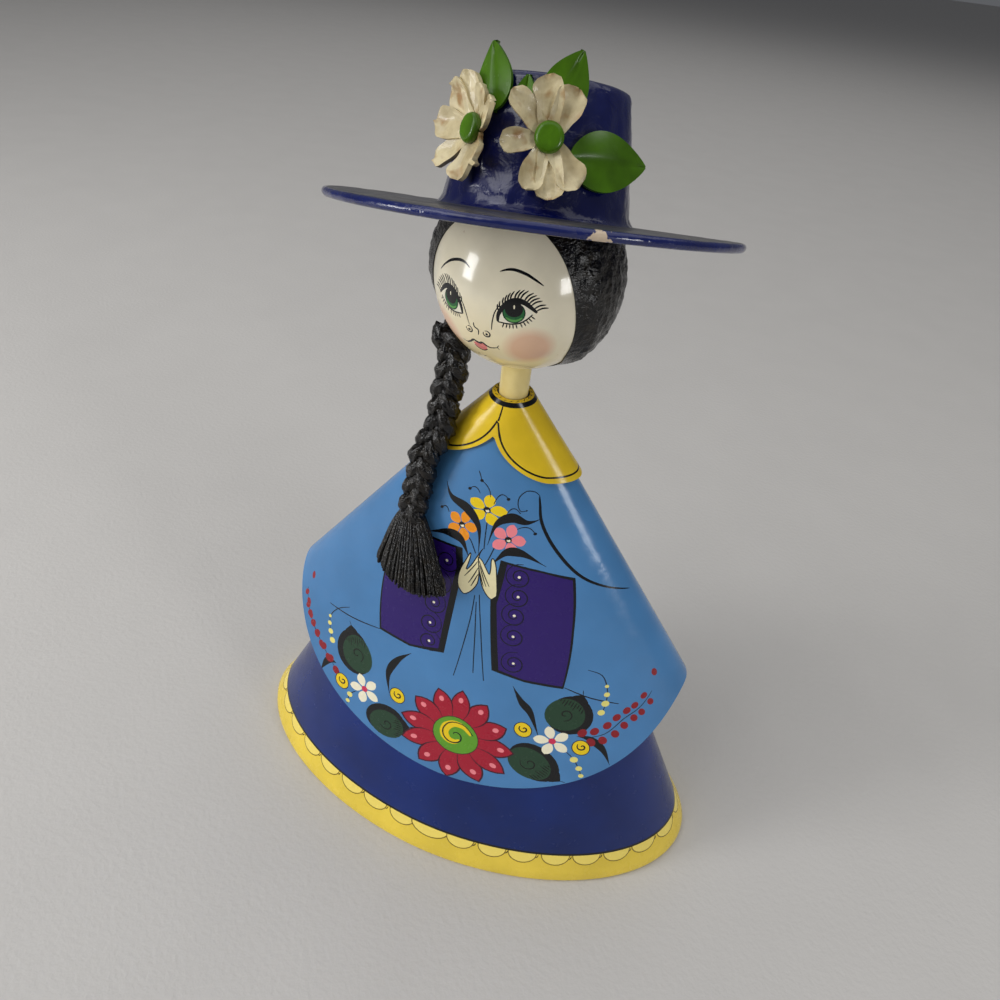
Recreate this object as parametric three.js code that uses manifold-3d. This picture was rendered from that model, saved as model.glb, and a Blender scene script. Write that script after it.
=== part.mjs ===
// Papier-mache figure: a girl in a wide oval skirt and cape, with a round flat hat.
// Millimetres, +Z up. The figure faces -Y and its left hand side is +X.
// The origin is the middle of the flat underside that it stands on.
import * as THREE from 'three';
import { mergeVertices } from 'three/addons/utils/BufferGeometryUtils.js';
import Module from 'manifold-3d';

const wasm = await Module();
wasm.setup();
const deg = THREE.MathUtils.degToRad;

// Driving dimensions shared by several pieces
const glueGap = 0.3;             // left between two pieces that are glued together
const ovalPower = 1.9;           // plan of skirt and cape: 2 is an ellipse, less is more pointed
const bodySteps = 52;            // facets round the skirt and the cape
const neckLean = [-1.4, -3.3];   // how far the neck stands off the middle of the base

// Skirt, a solid oval cone that flares into a rounded hem
const hemHalfWidth = 120;
const hemHalfDepth = 64.5;
const hemEdgeHeight = 3;         // height of the widest line of the hem
const hemTurnIn = 2;             // how far the hem rounds in below that line
const bandHeight = 15.4;         // where the hem band ends and the plain skirt begins
const bandHalfWidth = 112.3;
const bandHalfDepth = 58.2;
const capeTopHeight = 230.5;     // the cape's upper edge, which the pieces above it follow
const skirtTopDrop = 25.5;       // from there down to the skirt's flat top, under the cape
const skirtTopHeight = capeTopHeight - skirtTopDrop;
const skirtTopHalfWidth = 19;

// Cape, one curved sheet that lies on the skirt in front and stands off it at the sides
const capeWall = 1.5;
const capeFrontHeight = 54;      // its lower edge, in front
const capeBackHeight = 60;
const capeSideHeight = 117;      // its lower edge, at the two side corners
const capeHalfSpan = 91.8;       // from the middle to a side corner
const capeEdgePower = 2.4;       // how fast the edge drops from the side to the front

// Collar, a thinner sheet over the cape, with two round lobes in front
const collarWall = 1.1;
const collarDrop = 25.5;         // from the cape's top down to the collar's lower edge
const collarHeight = capeTopHeight - collarDrop;
const collarNotchRise = 14;      // how far the notch between the front lobes rises
const collarBackRise = 8;
const collarNotchTurn = -8;      // degrees from the front to the notch
const collarLobeTurn = 55;       // degrees from the notch to the bottom of a lobe
const collarLobePower = 1.8;     // how round the lobes are: 1 makes them pointed
const collarFlare = 2;           // how much wider the collar stands at the shoulders
const collarPlay = 0.7;          // room between the neck and the collar's opening

// Neck and head
const neckRadius = 5.2;
const headRadius = 29;
const headRise = 43;             // from the cape's top up to the middle of the head
const headPlace = new THREE.Vector3(-2.2, -3, capeTopHeight + headRise);
const neckInHead = 5;            // how deep the neck goes into the head

// Hair, a lacquered shell round the back and sides of the head
const hairThickness = 2.2;
const hairTurn = -9;             // degrees that the face opening is turned from the front
const hairLocks = 9;             // broad combed locks, round the head
const hairLockDepth = 0.35;
const hairLockFade = 0.25;       // the locks begin this share of the radius above the ears

// Plait of three strands, with a flared brush of hair below its tie
const strandRadius = 3.1;
const plaitSwing = 3.4;          // sideways swing of a strand from the plait's middle
const plaitDepth = 1.2;          // swing of a strand towards and away from the cape
const plaitPitch = 21;           // length in which a strand comes back to its side
const plaitStart = [-92, -42];   // degrees round the head from the front, and over the level
const plaitJaw = [-78, -56];
const plaitStartOff = 1.2;       // how far the plait stands off the hair where it starts
const plaitJawOff = 2.5;
const plaitPlay = 0.5;           // extra room under the strands where the cape bulges
const plaitTop = 9;              // how far over the collar's edge the plait reaches the collar
const tieDrop = 53.5;            // from the cape's top down to the plait's tie
const tieHeight = capeTopHeight - tieDrop;
const brushOverlap = 3;          // how far the brush reaches up into the plait
const brushLength = 26;
const brushEndHeight = tieHeight - brushLength;
const brushEndOff = 3.3;         // how far the brush's end stands off the cape
const brushHalfWidth = 17;
const brushHalfDepth = 5.2;
const brushFlarePower = 0.8;     // under 1, the brush widens soonest below the tie
const plaitTurnTop = -142;       // degrees round the cape, where the plait reaches it
const plaitTurnEnd = -110;       // and at the end of the brush

// Hat
const brimRadius = 62.7;
const brimThickness = 2.5;
const brimLift = 0.5;            // the brim's edge rises this much at the sides, drops in front
const crownHeight = 34;
const crownFootRadius = 28.8;
const crownFootRound = 2.2;      // how far the brim's top curves up into the crown
const crownTopRadius = 22.9;
const crownDome = 1.2;
const crownWall = 1.5;
const hatSeat = 15;              // from the middle of the head up to the brim's underside
const hatTiltBack = 15.6;        // degrees
const hatLean = -3.8;            // degrees, towards -X

// Flowers and leaves on the crown
const petalHalfWidth = 4.2;
const petalThickness = 1.6;
const petalCurl = 2.6;           // how far a petal's tip curls away from the flower's plane
const flowerCentreRadius = 3.9;
const flowerRoom = 2.6;          // the crown to a flower's middle plane
const leafThickness = 1.3;

const colours = {
  skirt: 0x1b3a86, cape: 0x5b8fc8, collar: 0xf0d060, skin: 0xe3dcc0, hair: 0x0c0b0b,
  hat: 0x1d2f86, petal: 0xd9cba4, leaf: 0x4c7a26,
};
const finish = { roughness: 0.3, metalness: 0 };
const material = (colour) => new THREE.MeshStandardMaterial({ color: colour, ...finish });

// A round of profiles: profile(angle) gives a row of points, and each row joins the next.
// A looped profile closes on itself, as in a ring, and an open one is closed by a fan at each end.
function sweepRound(steps, profile, looped) {
  const rows = [];
  for (let i = 0; i < steps; i++) rows.push(profile((i / steps) * 2 * Math.PI));
  const count = rows[0].length;
  const positions = rows.flat().flatMap((p) => [p.x, p.y, p.z]);
  const faces = [];
  const at = (i, j) => (i % steps) * count + (j % count);
  for (let i = 0; i < steps; i++) {
    for (let j = 0; j < (looped ? count : count - 1); j++) {
      faces.push(at(i, j), at(i + 1, j), at(i + 1, j + 1), at(i, j), at(i + 1, j + 1), at(i, j + 1));
    }
  }
  if (!looped) {
    for (const [j, flip] of [[0, true], [count - 1, false]]) {
      const middle = new THREE.Vector3();
      for (const row of rows) middle.addScaledVector(row[j], 1 / steps);
      const hub = positions.length / 3;
      positions.push(middle.x, middle.y, middle.z);
      for (let i = 0; i < steps; i++) {
        faces.push(hub, flip ? at(i + 1, j) : at(i, j), flip ? at(i, j) : at(i + 1, j));
      }
    }
  }
  const geometry = new THREE.BufferGeometry();
  geometry.setAttribute('position', new THREE.Float32BufferAttribute(positions, 3));
  geometry.setIndex(faces);
  return geometry;
}

// Booleans
function toSolid(geometry) {
  const bare = geometry.clone();
  bare.deleteAttribute('normal');
  bare.deleteAttribute('uv');
  const merged = mergeVertices(bare, 1e-4);
  return new wasm.Manifold(new wasm.Mesh({
    numProp: 3,
    vertProperties: new Float32Array(merged.attributes.position.array),
    triVerts: new Uint32Array(merged.index.array),
  }));
}
function toGeometry(solid) {
  const mesh = solid.getMesh();
  const geometry = new THREE.BufferGeometry();
  geometry.setAttribute('position', new THREE.BufferAttribute(mesh.vertProperties, 3));
  geometry.setIndex(new THREE.BufferAttribute(mesh.triVerts, 1));
  return geometry;
}
const joinAll = (geometries) => geometries.map(toSolid).reduce((whole, next) => whole.add(next));

// The oval body. Angle 0 is the figure's left side and -90 degrees is its front.
const lerp = THREE.MathUtils.lerp;
const share = (z, low, high) => (z - low) / (high - low);
function ovalPoint(halfWidth, halfDepth, angle, z) {
  const bend = (value) => Math.sign(value) * Math.abs(value) ** (2 / ovalPower);
  const across = Math.max(share(z, bandHeight, capeTopHeight), 0);
  return new THREE.Vector3(
    neckLean[0] * across + halfWidth * bend(Math.cos(angle)),
    neckLean[1] * across + halfDepth * bend(Math.sin(angle)), z);
}
const skirtHalfDepth = (z) => lerp(bandHalfDepth, neckRadius, share(z, bandHeight, capeTopHeight));
const skirtHalfWidth = (z) => lerp(bandHalfWidth, skirtTopHalfWidth, share(z, bandHeight, skirtTopHeight));
const capeTopRadius = neckRadius + glueGap + capeWall;
const capeHalfDepth = (z) => skirtHalfDepth(z) + glueGap + capeWall;
const capeHalfWidth = (z) => lerp(capeHalfSpan, capeTopRadius, share(z, capeSideHeight, capeTopHeight));
function capePoint(angle, z, out = 0) {
  return ovalPoint(capeHalfWidth(z) + out, capeHalfDepth(z) + out, angle, z);
}

function skirt() {
  const rounded = 0.6;           // share of the turn-in that is left one third up the hem's edge
  const lower = [
    [0, hemTurnIn], [hemEdgeHeight / 3, hemTurnIn * (1 - rounded)], [hemEdgeHeight, 0],
  ];
  return sweepRound(bodySteps, (angle) => [
    ...lower.map(([z, turn]) => ovalPoint(hemHalfWidth - turn, hemHalfDepth - turn, angle, z)),
    ovalPoint(bandHalfWidth, bandHalfDepth, angle, bandHeight),
    ovalPoint(skirtHalfWidth(skirtTopHeight), skirtHalfDepth(skirtTopHeight), angle, skirtTopHeight),
  ], false);
}

function capeEdge(angle) {
  const low = Math.sin(angle) < 0 ? capeFrontHeight : capeBackHeight;
  return lerp(capeSideHeight, low, Math.abs(Math.sin(angle)) ** capeEdgePower);
}
function cape() {
  return sweepRound(bodySteps, (angle) => {
    const edge = capeEdge(angle);
    return [
      capePoint(angle, edge), capePoint(angle, capeTopHeight),
      capePoint(angle, capeTopHeight, -capeWall), capePoint(angle, edge, -capeWall),
    ];
  }, true);
}

// The angle from a direction round the body, folded to 0..180 degrees
function turnFrom(angle, direction) {
  const past = THREE.MathUtils.radToDeg(angle) - direction;
  return Math.abs(THREE.MathUtils.euclideanModulo(past + 180, 360) - 180);
}
function collarEdge(angle) {
  const notch = Math.max(1 - turnFrom(angle, collarNotchTurn - 90) / collarLobeTurn, 0);
  const back = Math.max(1 - turnFrom(angle, 90) / collarLobeTurn, 0);
  const rise = collarNotchRise * notch ** collarLobePower + collarBackRise * back ** collarLobePower;
  return collarHeight + rise;
}
function collar() {
  const seat = capeTopHeight + glueGap;
  const top = seat + collarWall;
  const opening = neckRadius + collarPlay;
  return sweepRound(bodySteps, (angle) => {
    const edge = collarEdge(angle);
    const flare = collarFlare * share(edge, capeTopHeight, collarHeight) * Math.cos(angle) ** 2;
    const on = glueGap;
    return [
      capePoint(angle, edge, on + flare), capePoint(angle, edge, on + flare + collarWall),
      capePoint(angle, top, on + collarWall),
      ovalPoint(opening, opening, angle, top), ovalPoint(opening, opening, angle, seat),
      capePoint(angle, seat, on),
    ];
  }, true);
}

const neckBase = skirtTopHeight + glueGap;
const neckTop = headPlace.z - headRadius + neckInHead;
function neckCylinder(radius, bottom, top) {
  const geometry = new THREE.CylinderGeometry(radius, radius, top - bottom, 24);
  geometry.rotateX(Math.PI / 2);
  return geometry.translate(neckLean[0], neckLean[1], (bottom + top) / 2);
}
function head() {
  const ball = new THREE.SphereGeometry(headRadius, 28, 18);
  ball.rotateX(Math.PI / 2);
  ball.translate(...headPlace);
  const socket = neckCylinder(neckRadius + glueGap, headPlace.z - 2 * headRadius, neckTop + glueGap);
  return toGeometry(toSolid(ball).subtract(toSolid(socket)));
}

// Locks run down from the crown of the head, so their depth fades towards both poles.
function hair() {
  const outer = new THREE.SphereGeometry(headRadius + hairThickness, 32, 14);
  outer.rotateX(Math.PI / 2);
  const spot = new THREE.Vector3();
  const { position } = outer.attributes;
  for (let i = 0; i < position.count; i++) {
    spot.fromBufferAttribute(position, i);
    const radius = spot.length();
    const low = Math.min(Math.max(-spot.z / radius + hairLockFade, 0), 1);
    const around = Math.atan2(spot.y, spot.x);
    const wave = Math.sin(hairLocks * around) * Math.hypot(spot.x, spot.y) / radius;
    spot.multiplyScalar(1 + (hairLockDepth / radius) * (wave - 1) * low);
    position.setXYZ(i, spot.x, spot.y, spot.z);
  }
  const inner = new THREE.SphereGeometry(headRadius + glueGap, 28, 14);
  inner.rotateX(Math.PI / 2);

  // The face opening, drawn from the side as shares of the head's radius: forward, up
  const edge = [[0.62, 1.3], [0.6, 0.64], [0.56, 0.05], [0.4, -0.52], [0.2, -0.78], [-0.05, -1.2]];
  const spots = edge.map(([forward, up]) => new THREE.Vector2(forward, up).multiplyScalar(headRadius));
  const line = new THREE.SplineCurve(spots).getPoints(10);
  const reach = 2 * headRadius;
  const side = new THREE.Shape([
    ...line, new THREE.Vector2(reach, -reach), new THREE.Vector2(reach, reach),
  ]);
  const opening = new THREE.ExtrudeGeometry(side, { depth: 2 * reach, bevelEnabled: false, steps: 1 });
  opening.translate(0, 0, -reach);
  opening.rotateX(Math.PI / 2);
  opening.rotateZ(-Math.PI / 2 + deg(hairTurn));
  const nape = neckCylinder(neckRadius + 2 * glueGap, -reach, 0);
  nape.translate(-headPlace.x, -headPlace.y, 0);
  const shell = toSolid(outer).subtract(toSolid(inner)).subtract(toSolid(opening)).subtract(toSolid(nape));
  return toGeometry(shell).translate(...headPlace);
}

// Where the middle of the plait runs: from the hair beside the jaw, past the collar, down the cape
const plaitHalfThickness = strandRadius + plaitDepth;
function plaitOnCape(z, room) {
  const angle = deg(lerp(plaitTurnEnd, plaitTurnTop, share(z, brushEndHeight, collarHeight)));
  return capePoint(angle, z, room);
}
function plaitPath() {
  const over = plaitHalfThickness + glueGap + plaitPlay;
  const overCollar = over + collarWall + glueGap + collarFlare;
  const besideHead = (turn, rise, out) => headPlace.clone().add(new THREE.Vector3()
    .setFromSphericalCoords(headRadius + hairThickness + out, Math.PI / 2 - deg(rise), 0)
    .applyAxisAngle(new THREE.Vector3(1, 0, 0), Math.PI / 2)
    .applyAxisAngle(new THREE.Vector3(0, 0, 1), deg(turn)));
  const middle = (a, b, t) => a.clone().lerp(b, t);
  const start = besideHead(...plaitStart, plaitHalfThickness + plaitStartOff);
  const jaw = besideHead(...plaitJaw, plaitHalfThickness + plaitJawOff);
  const shoulder = plaitOnCape(collarHeight + plaitTop, overCollar);
  return new THREE.CatmullRomCurve3([
    start, jaw, middle(jaw, shoulder, 0.5), shoulder,
    plaitOnCape(collarHeight - 1, overCollar),
    plaitOnCape(lerp(collarHeight, tieHeight, 0.4), over + 0.6),
    plaitOnCape(lerp(collarHeight, tieHeight, 0.7), over), plaitOnCape(tieHeight, over),
  ], false, 'centripetal');
}
// Sideways across the plait, and out from the cape, at a share of the path
function plaitFrame(path, t) {
  const along = path.getTangentAt(t);
  const out = new THREE.Vector3(-0.35, -1, 0.2);
  const across = new THREE.Vector3().crossVectors(along, out).normalize();
  return { along, across, out: across.clone().cross(along).normalize() };
}
class StrandCurve extends THREE.Curve {
  constructor(path, phase) {
    super();
    this.path = path;
    this.turns = path.getLength() / plaitPitch;
    this.phase = phase;
  }
  getPoint(t, target = new THREE.Vector3()) {
    const { across, out } = plaitFrame(this.path, t);
    const turn = 2 * Math.PI * (this.turns * t + this.phase);
    return target.copy(this.path.getPointAt(t))
      .addScaledVector(across, plaitSwing * Math.sin(turn))
      .addScaledVector(out, plaitDepth * Math.sin(2 * turn));
  }
}
function strand(path, phase) {
  const round = new THREE.EllipseCurve(0, 0, strandRadius, strandRadius).getPoints(6).slice(0, 6);
  return new THREE.ExtrudeGeometry(new THREE.Shape(round), {
    extrudePath: new StrandCurve(path, phase), steps: 25, bevelEnabled: false,
  });
}
function brush(path) {
  const steps = 22;
  const rings = 5;
  const foot = plaitOnCape(tieHeight + brushOverlap, plaitHalfThickness + glueGap);
  const end = plaitOnCape(brushEndHeight, brushHalfDepth + brushEndOff);
  const { across } = plaitFrame(path, 1);
  const along = end.clone().sub(foot).normalize();
  const out = across.clone().cross(along).normalize();
  return sweepRound(steps, (angle) => Array.from({ length: rings + 1 }, (_, ring) => {
    const t = 1 - ring / rings;
    const rib = 1 + 0.06 * Math.sin(9 * angle) * t;
    const flare = t ** brushFlarePower;
    const width = lerp(strandRadius + 1, brushHalfWidth, flare) * rib;
    const depth = lerp(strandRadius + 0.6, brushHalfDepth, flare) * rib;
    const sag = 3 * t * t * Math.cos(angle) ** 2;
    return foot.clone().lerp(end, t).addScaledVector(along, -sag)
      .addScaledVector(across, width * Math.cos(angle)).addScaledVector(out, depth * Math.sin(angle));
  }), false);
}
function plait() {
  const path = plaitPath();
  return toGeometry(joinAll([0, 1 / 3, 2 / 3].map((phase) => strand(path, phase)).concat(brush(path))));
}

// Hat, in its own frame: the brim's underside is z = 0 and the crown stands on +Z
const hatHole = Math.sqrt((headRadius + hairThickness) ** 2 - hatSeat ** 2) + glueGap;
const crownShare = (h) => share(h, brimThickness, brimThickness + crownHeight);
const crownRadius = (h) => lerp(crownFootRadius, crownTopRadius, crownShare(h));
function hat() {
  const top = brimThickness + crownHeight;
  const corner = 1.4;
  const round = brimThickness / 3;
  const profile = [
    [crownRadius(top) - crownWall, top - crownWall], [hatHole, 0],
    [brimRadius - round, 0], [brimRadius, round],
    [brimRadius, 2 * round], [brimRadius - round, brimThickness],
    [crownFootRadius + crownFootRound, brimThickness], [crownFootRadius + 0.5, brimThickness + 0.7],
    [crownRadius(brimThickness + 3), brimThickness + 3],
    [crownRadius(top - corner), top - corner], [crownRadius(top) - 0.4, top - 0.3],
    [crownRadius(top) - corner, top], [crownTopRadius / 2, top + crownDome * 0.75],
  ];
  const wave = (radius, angle) => {
    const out = Math.max(share(radius, crownFootRadius + crownFootRound, brimRadius), 0);
    return brimLift * out * out * Math.cos(2 * angle);
  };
  return sweepRound(36, (angle) => profile.map(([radius, z]) => new THREE.Vector3(
    radius * Math.cos(angle), radius * Math.sin(angle), z + wave(radius, angle))), false);
}

// A place on the crown: degrees round from the front towards +X, height over the brim, distance out
function onCrown(turn, height, out) {
  const angle = deg(turn - 90);
  const radius = crownRadius(brimThickness + height) + out;
  return new THREE.Vector3(radius * Math.cos(angle), radius * Math.sin(angle), brimThickness + height);
}

// A flower lies in its own xy plane and faces +z
function petal(turn, length) {
  const blob = new THREE.SphereGeometry(1, 6, 5);
  blob.scale(length / 2, petalHalfWidth, petalThickness / 2);
  const { position } = blob.attributes;
  for (let i = 0; i < position.count; i++) {
    const reach = position.getX(i) + length / 2;
    const widen = 0.72 + 0.4 * (reach / length);
    const cup = 0.09 * position.getY(i) ** 2;
    const curl = petalCurl * (reach / length) ** 2;
    position.setXYZ(i, reach, position.getY(i) * widen, position.getZ(i) + cup + curl);
  }
  blob.translate(flowerCentreRadius * 0.6, 0, 0);
  return blob.rotateZ(deg(turn));
}
function flower(petals) {
  const centre = new THREE.SphereGeometry(flowerCentreRadius, 12, 5);
  centre.rotateX(Math.PI / 2);
  centre.scale(1, 1, 0.45);
  centre.translate(0, 0, 0.6);
  return toGeometry(joinAll([centre, ...petals.map(([turn, length]) => petal(turn, length))]));
}

// A leaf lies against the crown: it starts at its stalk, runs off at an angle to the level
// and lifts a little from the crown towards its pointed tip
function leaf({ turn, height, direction, length, half, lift }) {
  const stations = 7;
  const clear = glueGap + leafThickness / 2;
  return sweepRound(8, (angle) => Array.from({ length: stations + 1 }, (_, station) => {
    const t = station / stations;
    const width = half * Math.sin(Math.PI * t ** 0.75) + 0.3;
    const across = width * Math.cos(angle);
    const level = length * t * Math.cos(direction) - across * Math.sin(direction);
    const up = length * t * Math.sin(direction) + across * Math.cos(direction);
    const hollow = 0.6 * (across / half) ** 2;
    const out = clear + lift * t * t + hollow + (leafThickness / 2) * Math.sin(angle);
    const around = THREE.MathUtils.radToDeg(level / crownRadius(brimThickness + height));
    return onCrown(turn + around, height + up, out);
  }), false);
}

// Build the group
const figure = new THREE.Group();
function addMesh(parent, name, geometry, colour) {
  const mesh = new THREE.Mesh(geometry, material(colour));
  mesh.name = name;
  parent.add(mesh);
  return mesh;
}
addMesh(figure, 'skirt', skirt(), colours.skirt);
addMesh(figure, 'cape', cape(), colours.cape);
addMesh(figure, 'collar', collar(), colours.collar);
addMesh(figure, 'neck', neckCylinder(neckRadius, neckBase, neckTop), colours.skin);
addMesh(figure, 'head', head(), colours.skin);
addMesh(figure, 'hair', hair(), colours.hair);
addMesh(figure, 'braid', plait(), colours.hair);

// The hat sits on the head, tilted back and leaning a little to one side
const hatGroup = new THREE.Group();
hatGroup.rotation.set(-deg(hatTiltBack), deg(hatLean), 0, 'YXZ');
hatGroup.position.copy(new THREE.Vector3(0, 0, hatSeat).applyEuler(hatGroup.rotation).add(headPlace));
figure.add(hatGroup);
addMesh(hatGroup, 'hat', hat(), colours.hat);

// A flower is turned so that it faces a direction
function place(mesh, position, faceTurn, faceRise) {
  const facing = new THREE.Vector3(0, -1, 0)
    .applyAxisAngle(new THREE.Vector3(1, 0, 0), -deg(faceRise))
    .applyAxisAngle(new THREE.Vector3(0, 0, 1), deg(faceTurn));
  const level = new THREE.Vector3(0, 0, 1).cross(facing).normalize();
  const upward = facing.clone().cross(level).normalize();
  mesh.quaternion.setFromRotationMatrix(new THREE.Matrix4().makeBasis(level, upward, facing));
  mesh.position.copy(position);
}
const flowers = {
  flower_right: {
    turn: 17.6, height: 19, faceTurn: 22, faceRise: 4,
    petals: [[64, 11], [99, 12], [139, 12.5], [192, 11], [249, 12], [278, 13], [309, 12.5]],
  },
  flower_left: {
    turn: -28.4, height: 19.2, faceTurn: -36, faceRise: 8,
    petals: [[32, 9.5], [72, 9], [108, 12.5], [138, 13], [175, 14], [215, 14], [270, 11.5], [312, 9.5]],
  },
};
for (const [name, f] of Object.entries(flowers)) {
  const mesh = addMesh(hatGroup, name, flower(f.petals), colours.petal);
  place(mesh, onCrown(f.turn, f.height, flowerRoom), f.faceTurn, f.faceRise);
}
// Leaves: where the stalk starts, the direction over the level it points in, and its size
const leaves = {
  leaf_right: { turn: 30, height: 15, direction: deg(3), length: 23, half: 7, lift: 4.5 },
  leaf_back: { turn: 18, height: 25, direction: deg(68), length: 16, half: 5.4, lift: 1 },
  leaf_inner: { turn: 0, height: 25, direction: deg(88), length: 8, half: 2.2, lift: 0.4 },
  leaf_left: { turn: -18, height: 24, direction: deg(106), length: 17, half: 5.4, lift: 0.8 },
  leaf_low: { turn: -56, height: 19, direction: deg(172), length: 10, half: 2.8, lift: 0.5 },
};
for (const [name, sizes] of Object.entries(leaves)) addMesh(hatGroup, name, leaf(sizes), colours.leaf);

export default figure;
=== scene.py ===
"""Looks of the papier-mache figure: a girl in skirt and cape, with a plait and a flat hat."""
import math

import bmesh
import bpy
from bpy.props import FloatProperty, FloatVectorProperty, IntProperty, PointerProperty
from mathutils import Matrix, Vector, geometry, noise


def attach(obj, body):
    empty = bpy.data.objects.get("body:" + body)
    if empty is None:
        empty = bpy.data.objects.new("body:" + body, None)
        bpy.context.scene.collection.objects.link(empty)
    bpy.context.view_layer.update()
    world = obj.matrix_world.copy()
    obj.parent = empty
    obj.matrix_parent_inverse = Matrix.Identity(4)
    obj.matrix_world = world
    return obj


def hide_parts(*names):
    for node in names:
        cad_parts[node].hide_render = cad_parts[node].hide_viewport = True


bl_info = {
    "name": "Papier-mache figure",
    "version": (1, 0, 0),
    "blender": (4, 5, 0),
    "location": "3D View > Sidebar > Figure",
    "description": "Builds the lacquered papier-mache figure piece by piece over its solid model",
    "category": "Object",
}

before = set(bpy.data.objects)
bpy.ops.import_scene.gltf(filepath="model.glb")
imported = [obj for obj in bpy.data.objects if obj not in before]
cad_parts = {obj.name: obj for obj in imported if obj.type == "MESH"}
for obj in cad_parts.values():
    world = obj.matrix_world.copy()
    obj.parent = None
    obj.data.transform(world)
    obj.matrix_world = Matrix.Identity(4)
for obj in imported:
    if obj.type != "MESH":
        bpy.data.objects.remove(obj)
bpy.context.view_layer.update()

# All sizes are in millimetres and all turns in degrees unless a name says otherwise.
MM = 0.001
GLUE_GAP = 0.3

# The oval body: the same driving sizes as the solid model's
OVAL_POWER = 1.9
NECK_LEAN = (-1.4, -3.3)
HEM_HALF_WIDTH, HEM_HALF_DEPTH = 120, 64.5
HEM_EDGE_HEIGHT, HEM_TURN_IN = 3, 2
BAND_HEIGHT, BAND_HALF_WIDTH, BAND_HALF_DEPTH = 15.4, 112.3, 58.2
SKIRT_TOP_HEIGHT, SKIRT_TOP_HALF_WIDTH = 205, 19
CAPE_WALL, CAPE_TOP_HEIGHT = 1.5, 230.5
CAPE_FRONT_HEIGHT, CAPE_BACK_HEIGHT, CAPE_SIDE_HEIGHT = 54, 60, 117
CAPE_HALF_SPAN, CAPE_EDGE_POWER = 91.8, 2.4
COLLAR_WALL, COLLAR_HEIGHT = 1.1, 205
COLLAR_NOTCH_RISE, COLLAR_BACK_RISE, COLLAR_NOTCH_TURN = 14, 8, -8
COLLAR_LOBE_TURN, COLLAR_FLARE, COLLAR_PLAY = 55, 2, 0.7
NECK_RADIUS, NECK_TOP = 5.2, 249.5
HEAD_RADIUS = 29
HEAD_PLACE = Vector((-2.2, -3, 273.5))


# Small sums
def lerp(a, b, t):
    return a + (b - a) * t


def share(value, low, high):
    return (value - low) / (high - low)


def clamp(value):
    return min(max(value, 0.0), 1.0)


def smooth(value):
    t = clamp(value)
    return t * t * (3 - 2 * t)


def signed_power(value, power):
    return math.copysign(abs(value) ** power, value)


def linear(hex_colour):
    """sRGB hex to the linear colour that Blender works in."""
    parts = [int(hex_colour[i:i + 2], 16) / 255 for i in (1, 3, 5)]
    return tuple(p / 12.92 if p <= 0.04045 else ((p + 0.055) / 1.055) ** 2.4 for p in parts)


# The body's surfaces. A turn of 0 is the front, 90 the figure's left side. The seam is at the back.
def oval_point(half_width, half_depth, turn, z):
    angle = math.radians(turn - 90)
    across = max(share(z, BAND_HEIGHT, CAPE_TOP_HEIGHT), 0)
    return Vector((
        NECK_LEAN[0] * across + half_width * signed_power(math.cos(angle), 2 / OVAL_POWER),
        NECK_LEAN[1] * across + half_depth * signed_power(math.sin(angle), 2 / OVAL_POWER), z))


def skirt_half_depth(z):
    return lerp(BAND_HALF_DEPTH, NECK_RADIUS, share(z, BAND_HEIGHT, CAPE_TOP_HEIGHT))


def skirt_point(turn, z):
    if z < HEM_EDGE_HEIGHT:
        turn_in = HEM_TURN_IN * (1 - z / HEM_EDGE_HEIGHT) ** 2
        return oval_point(HEM_HALF_WIDTH - turn_in, HEM_HALF_DEPTH - turn_in, turn, z)
    if z < BAND_HEIGHT:
        t = share(z, HEM_EDGE_HEIGHT, BAND_HEIGHT)
        return oval_point(
            lerp(HEM_HALF_WIDTH, BAND_HALF_WIDTH, t), lerp(HEM_HALF_DEPTH, BAND_HALF_DEPTH, t),
            turn, z)
    half_width = lerp(
        BAND_HALF_WIDTH, SKIRT_TOP_HALF_WIDTH, share(z, BAND_HEIGHT, SKIRT_TOP_HEIGHT))
    return oval_point(half_width, skirt_half_depth(z), turn, z)


CAPE_TOP_RADIUS = NECK_RADIUS + GLUE_GAP + CAPE_WALL


def cape_half_width(z):
    return lerp(CAPE_HALF_SPAN, CAPE_TOP_RADIUS, share(z, CAPE_SIDE_HEIGHT, CAPE_TOP_HEIGHT))


def cape_point(turn, z, out=0.0):
    half_depth = skirt_half_depth(z) + GLUE_GAP + CAPE_WALL
    return oval_point(cape_half_width(z) + out, half_depth + out, turn, z)


def cape_edge(turn):
    low = CAPE_FRONT_HEIGHT if abs(turn) < 90 else CAPE_BACK_HEIGHT
    return lerp(CAPE_SIDE_HEIGHT, low, abs(math.cos(math.radians(turn))) ** CAPE_EDGE_POWER)


def collar_edge(turn):
    notch = max(1 - abs(turn - COLLAR_NOTCH_TURN) / COLLAR_LOBE_TURN, 0)
    back = max(1 - (180 - abs(turn)) / COLLAR_LOBE_TURN, 0)
    return COLLAR_HEIGHT + COLLAR_NOTCH_RISE * notch ** 1.8 + COLLAR_BACK_RISE * back ** 1.8


COLLAR_TOP = CAPE_TOP_HEIGHT + GLUE_GAP + COLLAR_WALL


def collar_point(turn, z):
    """The collar's outside. Values above its top turn inwards to the neck's opening."""
    edge = collar_edge(turn)
    side = math.sin(math.radians(turn)) ** 2
    flare = COLLAR_FLARE * share(edge, CAPE_TOP_HEIGHT, COLLAR_HEIGHT) * side
    on = GLUE_GAP + COLLAR_WALL
    if z <= COLLAR_TOP:
        return cape_point(turn, z, on + flare * clamp(share(z, COLLAR_TOP, edge)))
    opening = NECK_RADIUS + COLLAR_PLAY
    outer = cape_point(turn, COLLAR_TOP, on)
    inner = oval_point(opening, opening, turn, COLLAR_TOP)
    return outer.lerp(inner, clamp((z - COLLAR_TOP) / (outer - inner).length))


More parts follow.
